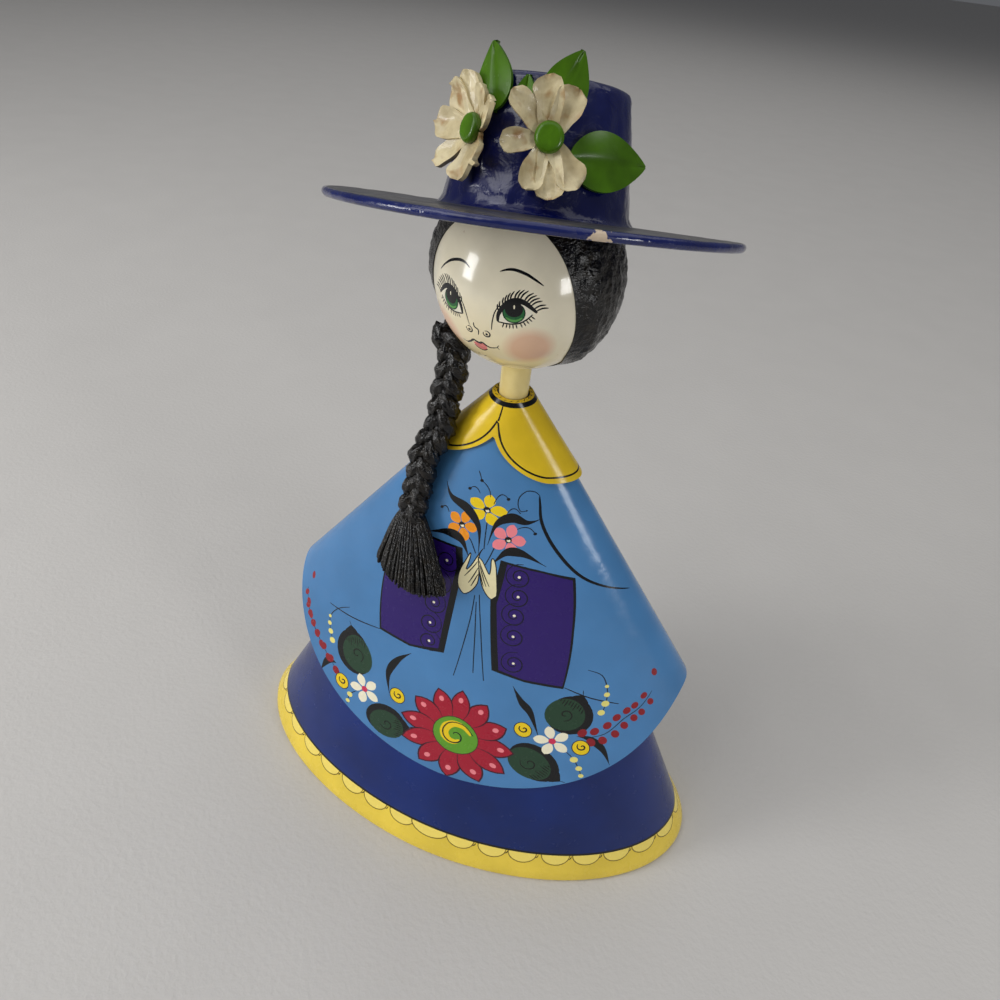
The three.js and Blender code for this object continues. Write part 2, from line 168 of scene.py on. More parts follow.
def cape_place(x, z):
    """Turn and height of the place on the cape's front that is x to the side and z up."""
    across = share(z, BAND_HEIGHT, CAPE_TOP_HEIGHT)
    part = max(min((x - NECK_LEAN[0] * across) / cape_half_width(z), 1), -1)
    return 90 - math.degrees(math.acos(signed_power(part, OVAL_POWER / 2))), z


# The head's flat map: mm to the right of and above the middle of the face, along the ball
FACE_TURN, FACE_RISE = -12, -5
FACE_LEAN = 6                    # degrees that the features rise towards the left side
FACE_FORWARD = Vector((
    math.sin(math.radians(FACE_TURN)) * math.cos(math.radians(FACE_RISE)),
    -math.cos(math.radians(FACE_TURN)) * math.cos(math.radians(FACE_RISE)),
    math.sin(math.radians(FACE_RISE))))
FACE_RIGHT = Vector((math.cos(math.radians(FACE_TURN)), math.sin(math.radians(FACE_TURN)), 0))
FACE_UP = FACE_RIGHT.cross(-FACE_FORWARD)


def head_direction(right, up):
    arc = math.hypot(right, up) / HEAD_RADIUS
    side = (FACE_RIGHT * right + FACE_UP * up).normalized() if arc > 1e-9 else FACE_RIGHT
    return FACE_FORWARD * math.cos(arc) + side * math.sin(arc)


def head_point(right, up):
    return HEAD_PLACE + head_direction(right, up) * HEAD_RADIUS


# Painting: outlines in mm laid on a surface, each with its paint, the last one on top
LONGEST_STEP = 2.0               # chart units between two places of an outline


class Painting:
    """Paint outlines on a surface's chart. point(u, v) gives the place in mm of a chart place."""

    def __init__(self, point, domain, ground):
        self.point = point
        self.areas = []
        self.area(ground, domain)

    def slopes(self, place):
        """Directions to the right and up along the surface, and how chart steps move along them."""
        u, v = place
        step = 0.01
        along_u = (self.point(u + step, v) - self.point(u - step, v)) / (2 * step)
        along_v = (self.point(u, v + step) - self.point(u, v - step)) / (2 * step)
        right = along_u.normalized()
        slant = along_v.dot(right)
        up = along_v - right * slant
        return right, up.normalized(), along_u.length, slant, up.length

    def shift(self, place, right, up):
        """The chart place that many mm to the right of and above another."""
        _, _, stretch, slant, rise = self.slopes(place)
        dv = up / rise
        return place[0] + (right - dv * slant) / stretch, place[1] + dv

    def area(self, paint, places):
        """Paints a closed outline of chart places, in steps short enough for a curved surface."""
        fine = []
        for a, b in zip(places, [*places[1:], places[0]]):
            pieces = math.ceil(math.dist(a, b) / LONGEST_STEP)
            fine += [
                (lerp(a[0], b[0], i / pieces), lerp(a[1], b[1], i / pieces)) for i in range(pieces)]
        twice = sum(a[0] * b[1] - b[0] * a[1] for a, b in zip(fine, fine[1:] + fine[:1]))
        if abs(twice) > 1e-3:
            self.areas.append((fine if twice > 0 else fine[::-1], paint))

    def patch(self, paint, place, outline):
        """Paints an outline in mm round a chart place."""
        self.area(paint, [self.shift(place, x, y) for x, y in outline])

    def line(self, paint, places, width, tip=0.5, swell=0.7, steps=5):
        """A brush line, widest in its middle; tip is the ends' share of its width."""
        path = curve_through(places, steps)
        edges = []
        for i, place in enumerate(path):
            before, after = path[max(i - 1, 0)], path[min(i + 1, len(path) - 1)]
            right, up, _, _, _ = self.slopes(place)
            along = self.point(*after) - self.point(*before)
            side = Vector((-along.dot(up), along.dot(right))).normalized()
            t = i / (len(path) - 1)
            half = width / 2 * lerp(tip, 1, max(math.sin(math.pi * t), 0) ** swell)
            edges.append([self.shift(place, side.x * s * half, side.y * s * half) for s in (1, -1)])
        for before, after in zip(edges, edges[1:]):
            corners = [*before, *after]
            self.area(
                paint, [corners[i] for i in geometry.convex_hull_2d([Vector(c) for c in corners])])

    def stroke(self, paint, place, points, width, **shape):
        """A brush line through points in mm round a chart place."""
        self.line(paint, [self.shift(place, x, y) for x, y in points], width, **shape)


def curve_through(points, steps):
    """A smooth curve through points, with that many steps between two of them."""
    if len(points) < 3:
        (ax, ay), (bx, by) = points
        return [(lerp(ax, bx, i / steps), lerp(ay, by, i / steps)) for i in range(steps + 1)]
    ends = [points[0], *points, points[-1]]
    curve = []
    for a, b, c, d in zip(ends, ends[1:], ends[2:], ends[3:]):
        for i in range(steps):
            t = i / steps
            curve.append(tuple(
                0.5 * (2 * q + (r - p) * t + (2 * p - 5 * q + 4 * r - s) * t * t
                       + (3 * q - p - 3 * r + s) * t ** 3)
                for p, q, r, s in zip(a, b, c, d)))
    return [*curve, points[-1]]


# Outlines in mm round their own middle
def oval(half_width, half_height, lean=0.0, middle=(0, 0), steps=24):
    c, s = math.cos(math.radians(lean)), math.sin(math.radians(lean))
    outline = []
    for i in range(steps):
        x = half_width * math.cos(2 * math.pi * i / steps)
        y = half_height * math.sin(2 * math.pi * i / steps)
        outline.append((middle[0] + x * c - y * s, middle[1] + x * s + y * c))
    return outline


def petal(direction, start, end, half_width, roundness=0.8, steps=9):
    """A petal from start to end along a direction; a roundness over 1 gives it a pointed tip."""
    c, s = math.cos(math.radians(direction)), math.sin(math.radians(direction))
    outline = []
    for side in (1, -1):
        for i in range(steps):
            t = i / steps if side > 0 else 1 - i / steps
            x = lerp(start, end, t)
            y = side * half_width * max(math.sin(math.pi * t ** 1.15), 0) ** roundness
            outline.append((x * c - y * s, x * s + y * c))
    return outline


def spiral(radius, turns, start=0.0, inner=0.15, middle=(0, 0), steps=10):
    """Points from the outer end of a spiral to its middle; negative turns run clockwise."""
    count = int(abs(turns) * steps)
    points = []
    for i in range(count + 1):
        t = i / count
        angle = math.radians(start) + 2 * math.pi * turns * t
        reach = radius * lerp(1, inner, t)
        points.append((middle[0] + reach * math.cos(angle), middle[1] + reach * math.sin(angle)))
    return points


# Meshes and objects
def chart_grid(low_u, high_u, step_u, low_v, high_v, step_v):
    """Places inside a chart, in staggered rows."""
    places = []
    for row in range(int((high_v - low_v) / step_v)):
        v = low_v + (row + 0.5) * step_v
        for column in range(int((high_u - low_u) / step_u)):
            places.append((low_u + (column + 0.25 + 0.5 * (row % 2)) * step_u, v))
    return places


def painted_mesh(painting, inside, slots, merge=0.001):
    """The painted surface as a bmesh: a flat map cut along every outline, then laid on the surface.
    No operator cuts a curved sheet along painted outlines, so the triangles come from the map."""
    corners, outlines = [], []
    for places, _ in painting.areas:
        outlines.append(list(range(len(corners), len(corners) + len(places))))
        corners.extend(places)
    corners.extend(inside)
    flat = [Vector(p) for p in corners]
    places, _, triangles, _, _, sources = geometry.delaunay_2d_cdt(flat, [], outlines, 1, 1e-5)
    bm = bmesh.new()
    verts = [bm.verts.new(painting.point(p.x, p.y) * MM) for p in places]
    for triangle, source in zip(triangles, sources):
        if 0 in source and len(set(triangle)) == 3:
            face = bm.faces.new([verts[i] for i in triangle])
            face.material_index = slots.index(painting.areas[max(source)][1])
    bmesh.ops.delete(bm, geom=[v for v in bm.verts if not v.link_faces], context="VERTS")
    bmesh.ops.remove_doubles(bm, verts=bm.verts[:], dist=merge * MM)
    return bm


def thicken(bm, wall, inner_slot):
    """Gives an outer skin a wall on its inner side, in one plain finish."""
    outward = bm.verts.layers.float_vector.new("outward")
    bm.normal_update()
    for vert in bm.verts:
        vert[outward] = vert.normal
    outer = set(bm.faces)
    made = bmesh.ops.extrude_face_region(bm, geom=bm.faces[:], use_keep_orig=True)["geom"]
    for vert in (v for v in made if isinstance(v, bmesh.types.BMVert)):
        vert.co -= vert[outward] * wall * MM
    for face in bm.faces:
        if face not in outer:
            face.material_index = inner_slot
    bm.verts.layers.float_vector.remove(outward)
    bmesh.ops.recalc_face_normals(bm, faces=bm.faces[:])


def finish_piece(bm, name, materials, nodes, crease=40.0):
    """Makes the mesh an object at the origin that rides on the figure and stands for its solids."""
    mesh = bpy.data.meshes.new(name)
    bm.to_mesh(mesh)
    bm.free()
    mesh.shade_smooth()
    mesh.set_sharp_from_angle(angle=math.radians(crease))
    for material in materials:
        mesh.materials.append(material)
    piece = bpy.data.objects.new(name, mesh)
    bpy.context.scene.collection.objects.link(piece)
    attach(piece, "root")
    if nodes:
        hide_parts(*nodes)
    return piece


# Materials
def add_node(tree, kind, settings=None, links=None):
    """Adds a node with its settings, by property or input, and its links from other nodes."""
    node = tree.nodes.new(kind)
    for key, value in (settings or {}).items():
        if isinstance(key, str) and hasattr(node, key):
            setattr(node, key, value)
        else:
            node.inputs[key].default_value = value
    for key, source in (links or {}).items():
        tree.links.new(source, node.inputs[key])
    return node


def new_material(name):
    """A material cleared of its nodes, with the piece's own place as a starting point."""
    material = bpy.data.materials.new(name)
    material.use_nodes = True
    tree = material.node_tree
    tree.nodes.clear()
    return material, tree, add_node(tree, "ShaderNodeTexCoord").outputs["Object"]


def per_metre(size_mm):
    """A texture scale that gives its features this size."""
    return 1 / (size_mm * MM)


def noise_of(tree, place, size_mm, detail=3.0, distortion=0.0):
    settings = {"Scale": per_metre(size_mm), "Detail": detail, "Distortion": distortion}
    return add_node(tree, "ShaderNodeTexNoise", settings, {"Vector": place}).outputs["Fac"]


def span(tree, value, low, high, to_low, to_high):
    """Takes a value from one range to another, held within its ends."""
    settings = {
        "From Min": low, "From Max": high, "To Min": to_low, "To Max": to_high, "clamp": True}
    return add_node(tree, "ShaderNodeMapRange", settings, {"Value": value}).outputs["Result"]


def uneven(tree, place, size_mm, low, high):
    """A value that wanders between two ends, in patches of a size."""
    return span(tree, noise_of(tree, place, size_mm), 0.3, 0.7, low, high)


def distance_from(tree, place, spot):
    """The distance in metres from a spot on the figure."""
    settings = {"operation": "DISTANCE", 1: spot}
    return add_node(tree, "ShaderNodeVectorMath", settings, {0: place}).outputs["Value"]


def blend(tree, amount, under, over):
    """Mixes two colours; each is a linear colour or another node's output."""
    node = add_node(tree, "ShaderNodeMix", {"data_type": "RGBA"}, {"Factor": amount})
    for socket, colour in ((node.inputs[6], under), (node.inputs[7], over)):
        if isinstance(colour, bpy.types.NodeSocket):
            tree.links.new(colour, socket)
        else:
            socket.default_value = (*colour, 1)
    return node.outputs[2]


def close_material(tree, settings, links, bumps):
    """Adds the bumps, each (height, depth in mm), the shader and the output."""
    normal = None
    for height, depth in bumps:
        inputs = {"Height": height}
        if normal:
            inputs["Normal"] = normal
        bump = add_node(tree, "ShaderNodeBump", {"Distance": depth * MM}, inputs)
        normal = bump.outputs["Normal"]
    if normal:
        links["Normal"] = normal
    shader = add_node(tree, "ShaderNodeBsdfPrincipled", settings, links)
    add_node(tree, "ShaderNodeOutputMaterial", None, {"Surface": shader.outputs["BSDF"]})


# Brushed oil paint under one coat of clear lacquer over papier-mache: deep gloss, reflections that
# wander with the hand-smoothed paper, and slow changes of tone where the paint was laid thinner.
def lacquer(
        name, colour, shade, patch_mm=22, roughness=0.2, ripple_mm=9, ripple=0.08,
        orange_peel=0.012):
    material, tree, place = new_material(name)
    tone = blend(tree, span(tree, noise_of(tree, place, patch_mm), 0.35, 0.7, 0, 1), colour, shade)
    rough = uneven(tree, place, 5, roughness - 0.04, roughness + 0.06)
    bumps = [
        (noise_of(tree, place, ripple_mm, 2), ripple), (noise_of(tree, place, 1.2, 2), orange_peel)]
    settings = {"IOR": 1.34, "Coat Weight": 0.1, "Coat Roughness": 0.05}
    close_material(tree, settings, {"Base Color": tone, "Roughness": rough}, bumps)
    return material


# The same paint in a thin line or small motif: one crisp colour under the lacquer.
def brush_paint(name, colour, roughness=0.24):
    material, tree, place = new_material(name)
    rough = uneven(tree, place, 3, roughness - 0.05, roughness + 0.06)
    settings = {
        "Base Color": (*colour, 1), "IOR": 1.36, "Coat Weight": 0.15, "Coat Roughness": 0.05}
    close_material(tree, settings, {"Roughness": rough}, [(noise_of(tree, place, 1.2, 2), 0.012)])
    return material


# Paints of the decoration. Their order is the order of the material slots.
PAINT_COLOURS = {
    "black": "#0b0d10", "fine_line": "#16222e", "purple": "#2b1466", "purple_line": "#0b0620",
    "hand_cream": "#eadfb2", "crimson": "#a5162f", "petal_line": "#3d1022", "pink": "#f0868e",
    "disc_green": "#5f9c28", "yellow": "#edcb17", "leaf_green": "#22402c", "leaf_line": "#0e1a12",
    "white": "#f3ecd0", "rose": "#cf2f55", "berry": "#8c1a24", "lemon": "#e9de7e",
    "orange": "#ee941d",
}


def brush_paints(used):
    """The brush paints of these names, each made once and shared by the pieces."""
    made = []
    for name in used:
        label = f"Brush paint, {name.replace('_', ' ')}"
        made.append(
            bpy.data.materials.get(label) or brush_paint(label, linear(PAINT_COLOURS[name])))
    return made


def front(*points):
    return [cape_place(x, z) for x, z in points]


# Motifs of the cape's decoration, with their sizes in mm
def paint_border_flower(art, place, radius=25.4, disc=10.6, petals=12):
    """The big many-petalled flower with a spiral in its disc."""
    art.patch("petal_line", place, oval(disc + 2.4, disc + 2.1, -20))
    for i in range(petals):
        direction = 360 * i / petals
        art.patch("petal_line", place, petal(direction, disc - 4, radius + 0.9, 5.2, 0.8))
        art.patch("crimson", place, petal(direction, disc - 4, radius, 4.5, 0.75))
        tip = radius - 5
        spot = (tip * math.cos(math.radians(direction)), tip * math.sin(math.radians(direction)))
        art.patch("pink", place, oval(1.5, 1.25, direction, spot, 12))
    art.patch("petal_line", place, oval(disc + 0.35, disc + 0.05, -20))
    art.patch("disc_green", place, oval(disc, disc - 0.4, -20))
    art.stroke("yellow", place, spiral(disc * 0.72, 0.85, 20, 0.4), 4.2, tip=0.12)
    art.stroke("leaf_line", place, spiral(disc * 0.82, 1.35, 20, 0.08), 0.7, tip=0.5, steps=3)


def paint_small_flower(art, place, length, width, paint, centre, start=5, petals=5):
    for i in range(petals):
        outline = petal(start + 360 * i / petals, length * 0.14, length, width / 2, 0.62)
        art.patch(paint, place, outline)
    art.patch(centre, place, oval(length * 0.2, length * 0.2, steps=12))


def paint_round_leaf(art, place, half_width, half_height, lean, shade_turn):
    """A round leaf: black beneath, green off to one side, a spiral, and hatching near its tip."""
    c, s = math.cos(math.radians(lean)), math.sin(math.radians(lean))
    tip = (half_width * 1.18 * c, half_width * 1.18 * s)
    art.patch("black", place, oval(half_width, half_height, lean))
    art.patch(
        "black", place, petal(lean, half_width * 0.45, half_width * 1.2, half_height * 0.42, 1.2))
    away = (-2.2 * math.cos(math.radians(shade_turn)), -2.2 * math.sin(math.radians(shade_turn)))
    art.patch("leaf_green", place, oval(half_width * 0.84, half_height * 0.86, lean, away))
    art.stroke(
        "leaf_line", place, spiral(half_width * 0.34, 1.1, lean + 200, 0.1, away), 0.7, steps=3)
    for i in range(9):
        across = lerp(-0.55, 0.55, i / 8) * half_height
        root = half_width * lerp(0.34, 0.5, (i % 3) / 2)
        end = half_width * (0.78 - 0.5 * (across / half_height) ** 2)
        hatch = [(away[0] + x * c - across * s, away[1] + x * s + across * c) for x in (root, end)]
        art.stroke("leaf_line", place, hatch, 0.6, tip=0.3, steps=3)
    art.stroke(
        "fine_line", place, [tip, (tip[0] + 2.2 * c - s, tip[1] + 2.2 * s + c)], 0.4, steps=3)


def paint_bud(art, place, radius=3.7):
    art.patch("fine_line", place, oval(radius * 1.08, radius * 1.16, 30))
    art.patch("yellow", place, oval(radius * 0.96, radius * 1.05, 30))
    art.stroke(
        "black", place, spiral(radius * 0.62, 1.05, 150, 0.1, (0.4, 0.5)), 0.75, tip=0.5, steps=3)


def paint_berries(art, stem, pairs=7, radius=2.3):
    """A stem with a pair of berries at each step along it, smaller towards its tip."""
    path = curve_through(stem, 12)
    art.line("fine_line", stem, 0.45)
    for i in range(pairs):
        place = path[round((0.06 + 0.94 * i / pairs) * (len(path) - 1))]
        size = radius * lerp(1, 0.68, i / pairs)
        for side in (-1, 1):
            spot = (side * size * 0.95, -side * size * 0.95)
            art.patch("berry", place, oval(size * 0.84, size, 30 * side, spot, 14))


def paint_dots(art, stem, dots):
    """A thin curved stem that ends in a row of dots that grow downwards."""
    art.line("fine_line", stem, 0.5)
    for (x, z), radius in dots:
        art.patch("lemon", cape_place(x, z), oval(radius, radius * 0.9, 20, steps=12))


def bow(a, b, c, count=9):
    """Points of the parabola through three points."""
    points = []
    for i in range(count):
        t = i / (count - 1)
        parts = ((2 * t - 1) * (t - 1), 4 * t * (1 - t), t * (2 * t - 1))
        points.append(
            tuple(sum(part * p[axis] for part, p in zip(parts, (a, b, c))) for axis in (0, 1)))
    return points


def paint_curl(art, points, spot=0.75):
    """A thin tendril with a dot of paint at its last point."""
    path = bow(*points) if len(points) == 3 else points
    art.line("black", front(*path), 0.42, tip=0.6, steps=3)
    art.patch("black", cape_place(*points[-1]), oval(spot, spot * 0.8, 30, steps=10))


def paint_cuff(art, outline, band, spirals, mirrored):
    """A wide purple sleeve end, edged in black, with a row of spirals and white dots."""
    art.area("black", front(*outline))
    middle_x = sum(x for x, _ in outline) / len(outline)
    middle_z = sum(z for _, z in outline) / len(outline)
    art.area("purple", front(*[
        (x - math.copysign(band if (x < middle_x) != mirrored else 0.7, x - middle_x),
         z - math.copysign(1.1, z - middle_z)) for x, z in outline]))
    for x, z in spirals:
        place = cape_place(x, z)
        art.stroke(
            "purple_line", place, spiral(5.9, -1.8 if mirrored else 1.8, 80, 0.15), 0.55, steps=3)
        art.patch("white", place, oval(0.6, 0.6, steps=10))


def paint_bouquet(art):
    """The three flowers between the hands, with their stems, leaves and tendrils."""
    for points in (
        [(-0.2, 185.3), (0.1, 179.5), (0.6, 173.4)], [(-7.8, 177.5), (-5, 175), (-2.3, 170.5)],
        [(4.8, 177), (3.6, 171.6), (2.1, 166.5)], [(0.5, 152.4), (0.5, 140), (-2, 110.6)],
        [(1.6, 149.6), (3.6, 135), (6.1, 115.3)], [(2.3, 153.2), (6.2, 135), (11.2, 113.1)],
    ):
        art.line("fine_line", front(*points), 0.5, tip=0.8)
    paint_small_flower(art, cape_place(-9.8, 180.2), 6.6, 4.1, "orange", "black", 5)
    paint_small_flower(art, cape_place(-1.1, 189.6), 6.6, 4.2, "yellow", "black", 13)
    paint_small_flower(art, cape_place(9, 179.9), 6.9, 4.5, "pink", "black", 7)
    for x, z in ((-9.8, 180.2), (-1.1, 189.6), (9, 179.9)):
        art.patch("white", cape_place(x + 0.2, z - 0.3), oval(0.75, 0.6, steps=10))
        art.patch("black", cape_place(x - 0.1, z + 0.2), oval(0.4, 0.35, steps=8))
    leaves = (
        [(-19.1, 194.3), (-16, 189.6), (-8.6, 187.4), (-3, 181.5), (-1.2, 170.8)],
        [(1.6, 175.5), (3.4, 184.8), (8.6, 189), (14.4, 188.3), (19, 190.5)],
        [(-24.5, 171), (-15.5, 174.8), (-9, 174), (-4.4, 167.4)],
        [(4.3, 167.2), (9.2, 174.4), (15.5, 175.4), (25, 171.8)],
    )
    for points in leaves:
        art.line("black", front(*points), 3.9, tip=0.05, swell=2.2, steps=8)
    paint_curl(art, [(-6.9, 203.5), (-6.2, 202.5), (-5.1, 200.3)])
    paint_curl(art, [(-0.7, 195), (-2, 198.2), (-5.1, 200.3)])
    paint_curl(art, [(-4.9, 195.2), (-7, 197), (-9.2, 195.6)])
    paint_curl(art, [(1, 192.6), (3, 197), (6, 196)])
    paint_curl(art, [(-16, 183), (-17.4, 184.8), (-19.3, 183.7)])
    paint_curl(art, [(11.4, 184.9), (15, 186.4), (18.2, 184.4)])
    paint_curl(art, [(6.6, 190.4), (8.6, 192.8), (11.2, 191.5)], 0.3)
    paint_curl(
        art,
        [
            (16.5, 199.3), (14.6, 200.5), (11.8, 200.3), (9.8, 197.8), (9.8, 194.6), (11.3, 192.3),
            (13.3, 192.9)],
        0.4)


HAND_OUTLINES = (
    [
        (0.2, 173.4), (-0.6, 171.2), (-0.7, 168.4), (0.4, 163), (0.6, 157.9), (-1.2, 153.9),
        (-4.1, 151.4), (-6.9, 153.9), (-7.6, 158.2), (-7.1, 162.2), (-5.9, 165.8), (-4.4, 170.1),
        (-4.1, 168), (-4.9, 162.5), (-3.3, 164.6), (-1.4, 169.6)],
    [
        (-1, 169.4), (0.8, 168.3), (3.3, 164.9), (4.6, 163.4), (4.7, 166.2), (4.3, 169.4),
        (4.9, 170.5), (6.3, 168.2), (7.5, 163.6), (9.1, 155), (7.3, 152.8), (5, 154.2),
        (2.6, 157.5), (0.9, 162)],
)
FINGER_LINES = (
    [(-5.1, 159.3), (-0.9, 167.4)], [(-3, 156.9), (-0.2, 164.8)], [(-1.8, 155.8), (0.2, 162)],
    [(-0.4, 168), (5.5, 158)], [(0.2, 166), (4.3, 157.6)], [(0.6, 163.5), (3.2, 157.4)],
)


def paint_hands(art):
    for outline in HAND_OUTLINES:
        art.area("hand_cream", front(*outline))
        art.line("black", front(*outline, outline[0]), 0.45, tip=1, steps=3)
    for points in FINGER_LINES:
        art.line("black", front(*points), 0.5, tip=0.5, steps=3)


def paint_cape_front(art):
    """The decoration in the order that it was painted: sleeves, border, bouquet, hands."""
    art.line("black", front((-68.1, 112.8), (-54, 114), (-39.3, 116.7)), 0.6)
    art.line("black", front((43.8, 119.3), (55, 116), (66.9, 114.2)), 0.6)
    sleeve = [
        (16.5, 199.3), (17.4, 196), (19.5, 189.2), (26, 179.9), (37, 169.8), (47.4, 164.7),
        (57, 161)]
    art.line("black", front(*sleeve), 1.35, tip=0.12)
    right = [
        (7.8, 170.8), (22, 170), (36.5, 168.3), (41.5, 146), (43.7, 118.5), (28, 118),
        (13.5, 119.6), (7, 152.4)]
    left = [
        (-37.5, 168), (-22.5, 170.1), (-7.9, 170.8), (-6.2, 163), (-7.9, 120), (-24, 116),
        (-39.3, 116.7), (-41.3, 141.3)]
    paint_cuff(
        art, right, 2.8, [(16.1, 165.4), (17.4, 156.8), (17.6, 148.1), (19, 138.4), (21.6, 125.8)],
        False)
    paint_cuff(
        art, left, 2.8, [(-13.4, 162.9), (-15, 152), (-16, 142), (-16.2, 131.9), (-15.3, 122.9)],
        True)
    for points in (
            [(23.6, 114.8), (28.5, 108), (33.5, 103), (39.3, 91.8)],
            [(54.5, 96), (60, 95.6), (66.5, 91), (71.3, 83.5)],
            [(-22.4, 112.8), (-28.4, 106), (-32, 97), (-30.2, 86.5)],
            [(-60, 86), (-65, 84.5), (-68.6, 77)],
    ):
        art.line("black", front(*points), 3.6, tip=0.05, swell=1.8, steps=8)
    paint_round_leaf(art, cape_place(49.6, 106), 10.2, 9.8, 70, 0)
    paint_round_leaf(art, cape_place(40.2, 77.4), 12.4, 9.4, -30, 35)
    paint_round_leaf(art, cape_place(-51.4, 97.5), 11.5, 9.6, 110, 180)
    paint_round_leaf(art, cape_place(-30.2, 70.6), 10.6, 8.8, 10, 110)
    paint_berries(art, front((57, 95.5), (65.2, 99), (70.7, 107), (75.5, 112.4), (78.2, 119.4)))
    paint_berries(art, front((-60, 83), (-69, 90), (-76, 96.5), (-80.5, 102), (-83.6, 110)))
    for x, z in ((76.7, 127), (-81.3, 117)):
        art.patch("berry", cape_place(x, z), oval(1.3, 1.8, 20, steps=14))
    paint_dots(
        art, front((51, 129), (57, 127), (60.6, 121), (61.8, 114), (61.3, 108)),
        [((60.2, 122.1), 0.9), ((61.2, 118.2), 1.3), ((61.7, 113.9), 1.7), ((61.2, 109.4), 1.6)])
    paint_dots(art, front((50.5, 88), (56.3, 83.5), (61.4, 75.6)),
               [((56.3, 83.5), 1.8), ((59.4, 79.2), 1.5), ((61.2, 75.4), 1.2)])
    paint_dots(
        art, front((-56.4, 117.8), (-63, 113), (-66.8, 106), (-63.5, 96)),
        [((-66.9, 107), 0.9), ((-66.6, 103.6), 1.2), ((-65.4, 100), 1.5), ((-63.8, 96.2), 1.7)])
    paint_dots(
        art, front((-47, 78), (-50.6, 73.8), (-51.5, 68)),
        [((-50.6, 73.8), 1.6), ((-51.3, 69.8), 1.2)])
    paint_border_flower(art, cape_place(3.6, 79.2))
    paint_small_flower(art, cape_place(45.3, 91.1), 8.2, 4.6, "white", "rose", 40)
    paint_small_flower(art, cape_place(-43, 81.4), 8.2, 4.6, "white", "rose", 50)
    for x, z in ((32.1, 93.6), (57.6, 90.4), (-26.1, 87.2), (-55.7, 78.5)):
        paint_bud(art, cape_place(x, z))
    paint_bouquet(art)
    paint_hands(art)


def paint_cape_back(art):
    """Plainer work where it isn't seen: white flowers, leaves and buds along the back border."""
    for turn in (-160, -132, 132, 160):
        height = cape_edge(turn) + 20
        paint_round_leaf(art, (turn - 9, height - 4), 9.5, 8, 160, 90)
        paint_round_leaf(art, (turn + 9, height - 4), 9.5, 8, 20, 90)
        paint_small_flower(art, (turn, height), 8.2, 4.6, "white", "rose", 50)
        paint_bud(art, (turn, height + 12), 3.2)


# Skirt and collar
def paint_skirt(art, spacing, drop):
    """Yellow hem, the black line that ends it, and the hanging scallops below that line."""
    art.area("hem", [(-180, 0), (180, 0), (180, BAND_HEIGHT), (-180, BAND_HEIGHT)])
    around = [skirt_point(turn / 2, BAND_HEIGHT) for turn in range(-360, 361)]
    lengths = [0]
    for a, b in zip(around, around[1:]):
        lengths.append(lengths[-1] + (b - a).length)
    count = round(lengths[-1] / spacing)
    for i in range(count):
        goal = (i + 0.5) / count * lengths[-1]
        turn = next(k for k, reach in enumerate(lengths) if reach >= goal) / 2 - 180
        place = (turn, BAND_HEIGHT - 0.2)
        half = spacing * 0.44
        art.patch(
            "hem_line", place, [(x, y) for x, y in oval(half + 0.3, drop + 0.35) if y <= 0.01])
        art.patch(
            "hem_light", place, [(x, y) for x, y in oval(half - 0.15, drop - 0.15) if y <= 0.01])
        art.stroke(
            "black", place, [(half - 0.4, -2.2), (half + 0.6, -1.6), (half + 1, -0.4)], 0.5,
            tip=0.4, steps=3)
    art.area(
        "black",
        [
            (-180, BAND_HEIGHT - 0.3), (180, BAND_HEIGHT - 0.3), (180, BAND_HEIGHT + 0.9),
            (-180, BAND_HEIGHT + 0.9)])


def paint_collar(art, line_width):
    """A black line inside the edge, the seam between the two lobes, and the band round the neck."""
    inside = []
    for turn in range(-180, 181, 3):
        notch = max(1 - abs(turn - COLLAR_NOTCH_TURN) / COLLAR_LOBE_TURN, 0)
        inside.append((turn, collar_edge(turn) + 2 + 4.3 * notch ** 5))
    art.line("black", inside, line_width, tip=1, steps=1)
    seam = [(COLLAR_NOTCH_TURN, collar_edge(COLLAR_NOTCH_TURN) + 6.3), (COLLAR_NOTCH_TURN + 1, 225),
            (COLLAR_NOTCH_TURN + 3, COLLAR_TOP - 0.2)]
    art.line("black", seam, line_width * 0.9)
    ring = [(turn, COLLAR_TOP - 0.9) for turn in range(-180, 181, 6)]
    art.line("black", ring, 1.8, tip=1, steps=1)
    for turn in range(-170, 180, 20):
        art.line("black", [(turn, COLLAR_TOP + 0.5), (turn + 9, COLLAR_TOP + 1.3)], 0.35, steps=3)


# Head. The face opening is drawn from the side, as shares of the head's radius: forward, up.
HAIR_TURN = -9
HAIRLINE = ((0.62, 1.3), (0.6, 0.64), (0.56, 0.05), (0.4, -0.52), (0.2, -0.78), (-0.05, -1.2))


def hairline_directions(steps=60):
    """Directions from the head's middle along the edge of the hair, once round the face."""
    side_view = curve_through(HAIRLINE, 24)
    turn = math.radians(HAIR_TURN)
    forward = Vector((math.sin(turn), -math.cos(turn), 0))
    right = Vector((math.cos(turn), math.sin(turn), 0))
    half = [(f, u, math.sqrt(1 - f * f - u * u)) for f, u in side_view if f * f + u * u < 0.999]
    step = max(len(half) // (steps // 2), 1)
    half = half[::step]
    ring = [(f, u, s) for f, u, s in half] + [(f, u, -s) for f, u, s in reversed(half)]
    return [forward * f + right * s + Vector((0, 0, u)) for f, u, s in ring]


def face_place(direction):
    """The place on the face's flat map of a direction from the head's middle."""
    arc = math.acos(max(min(direction.dot(FACE_FORWARD), 1), -1)) * HEAD_RADIUS
    side = Vector((direction.dot(FACE_RIGHT), direction.dot(FACE_UP)))
    return tuple(side.normalized() * arc)


FACE_MIDDLE = (0.9, 2.1)         # between the eyes
EYE_APART = 11.2                 # from there to the middle of an eye


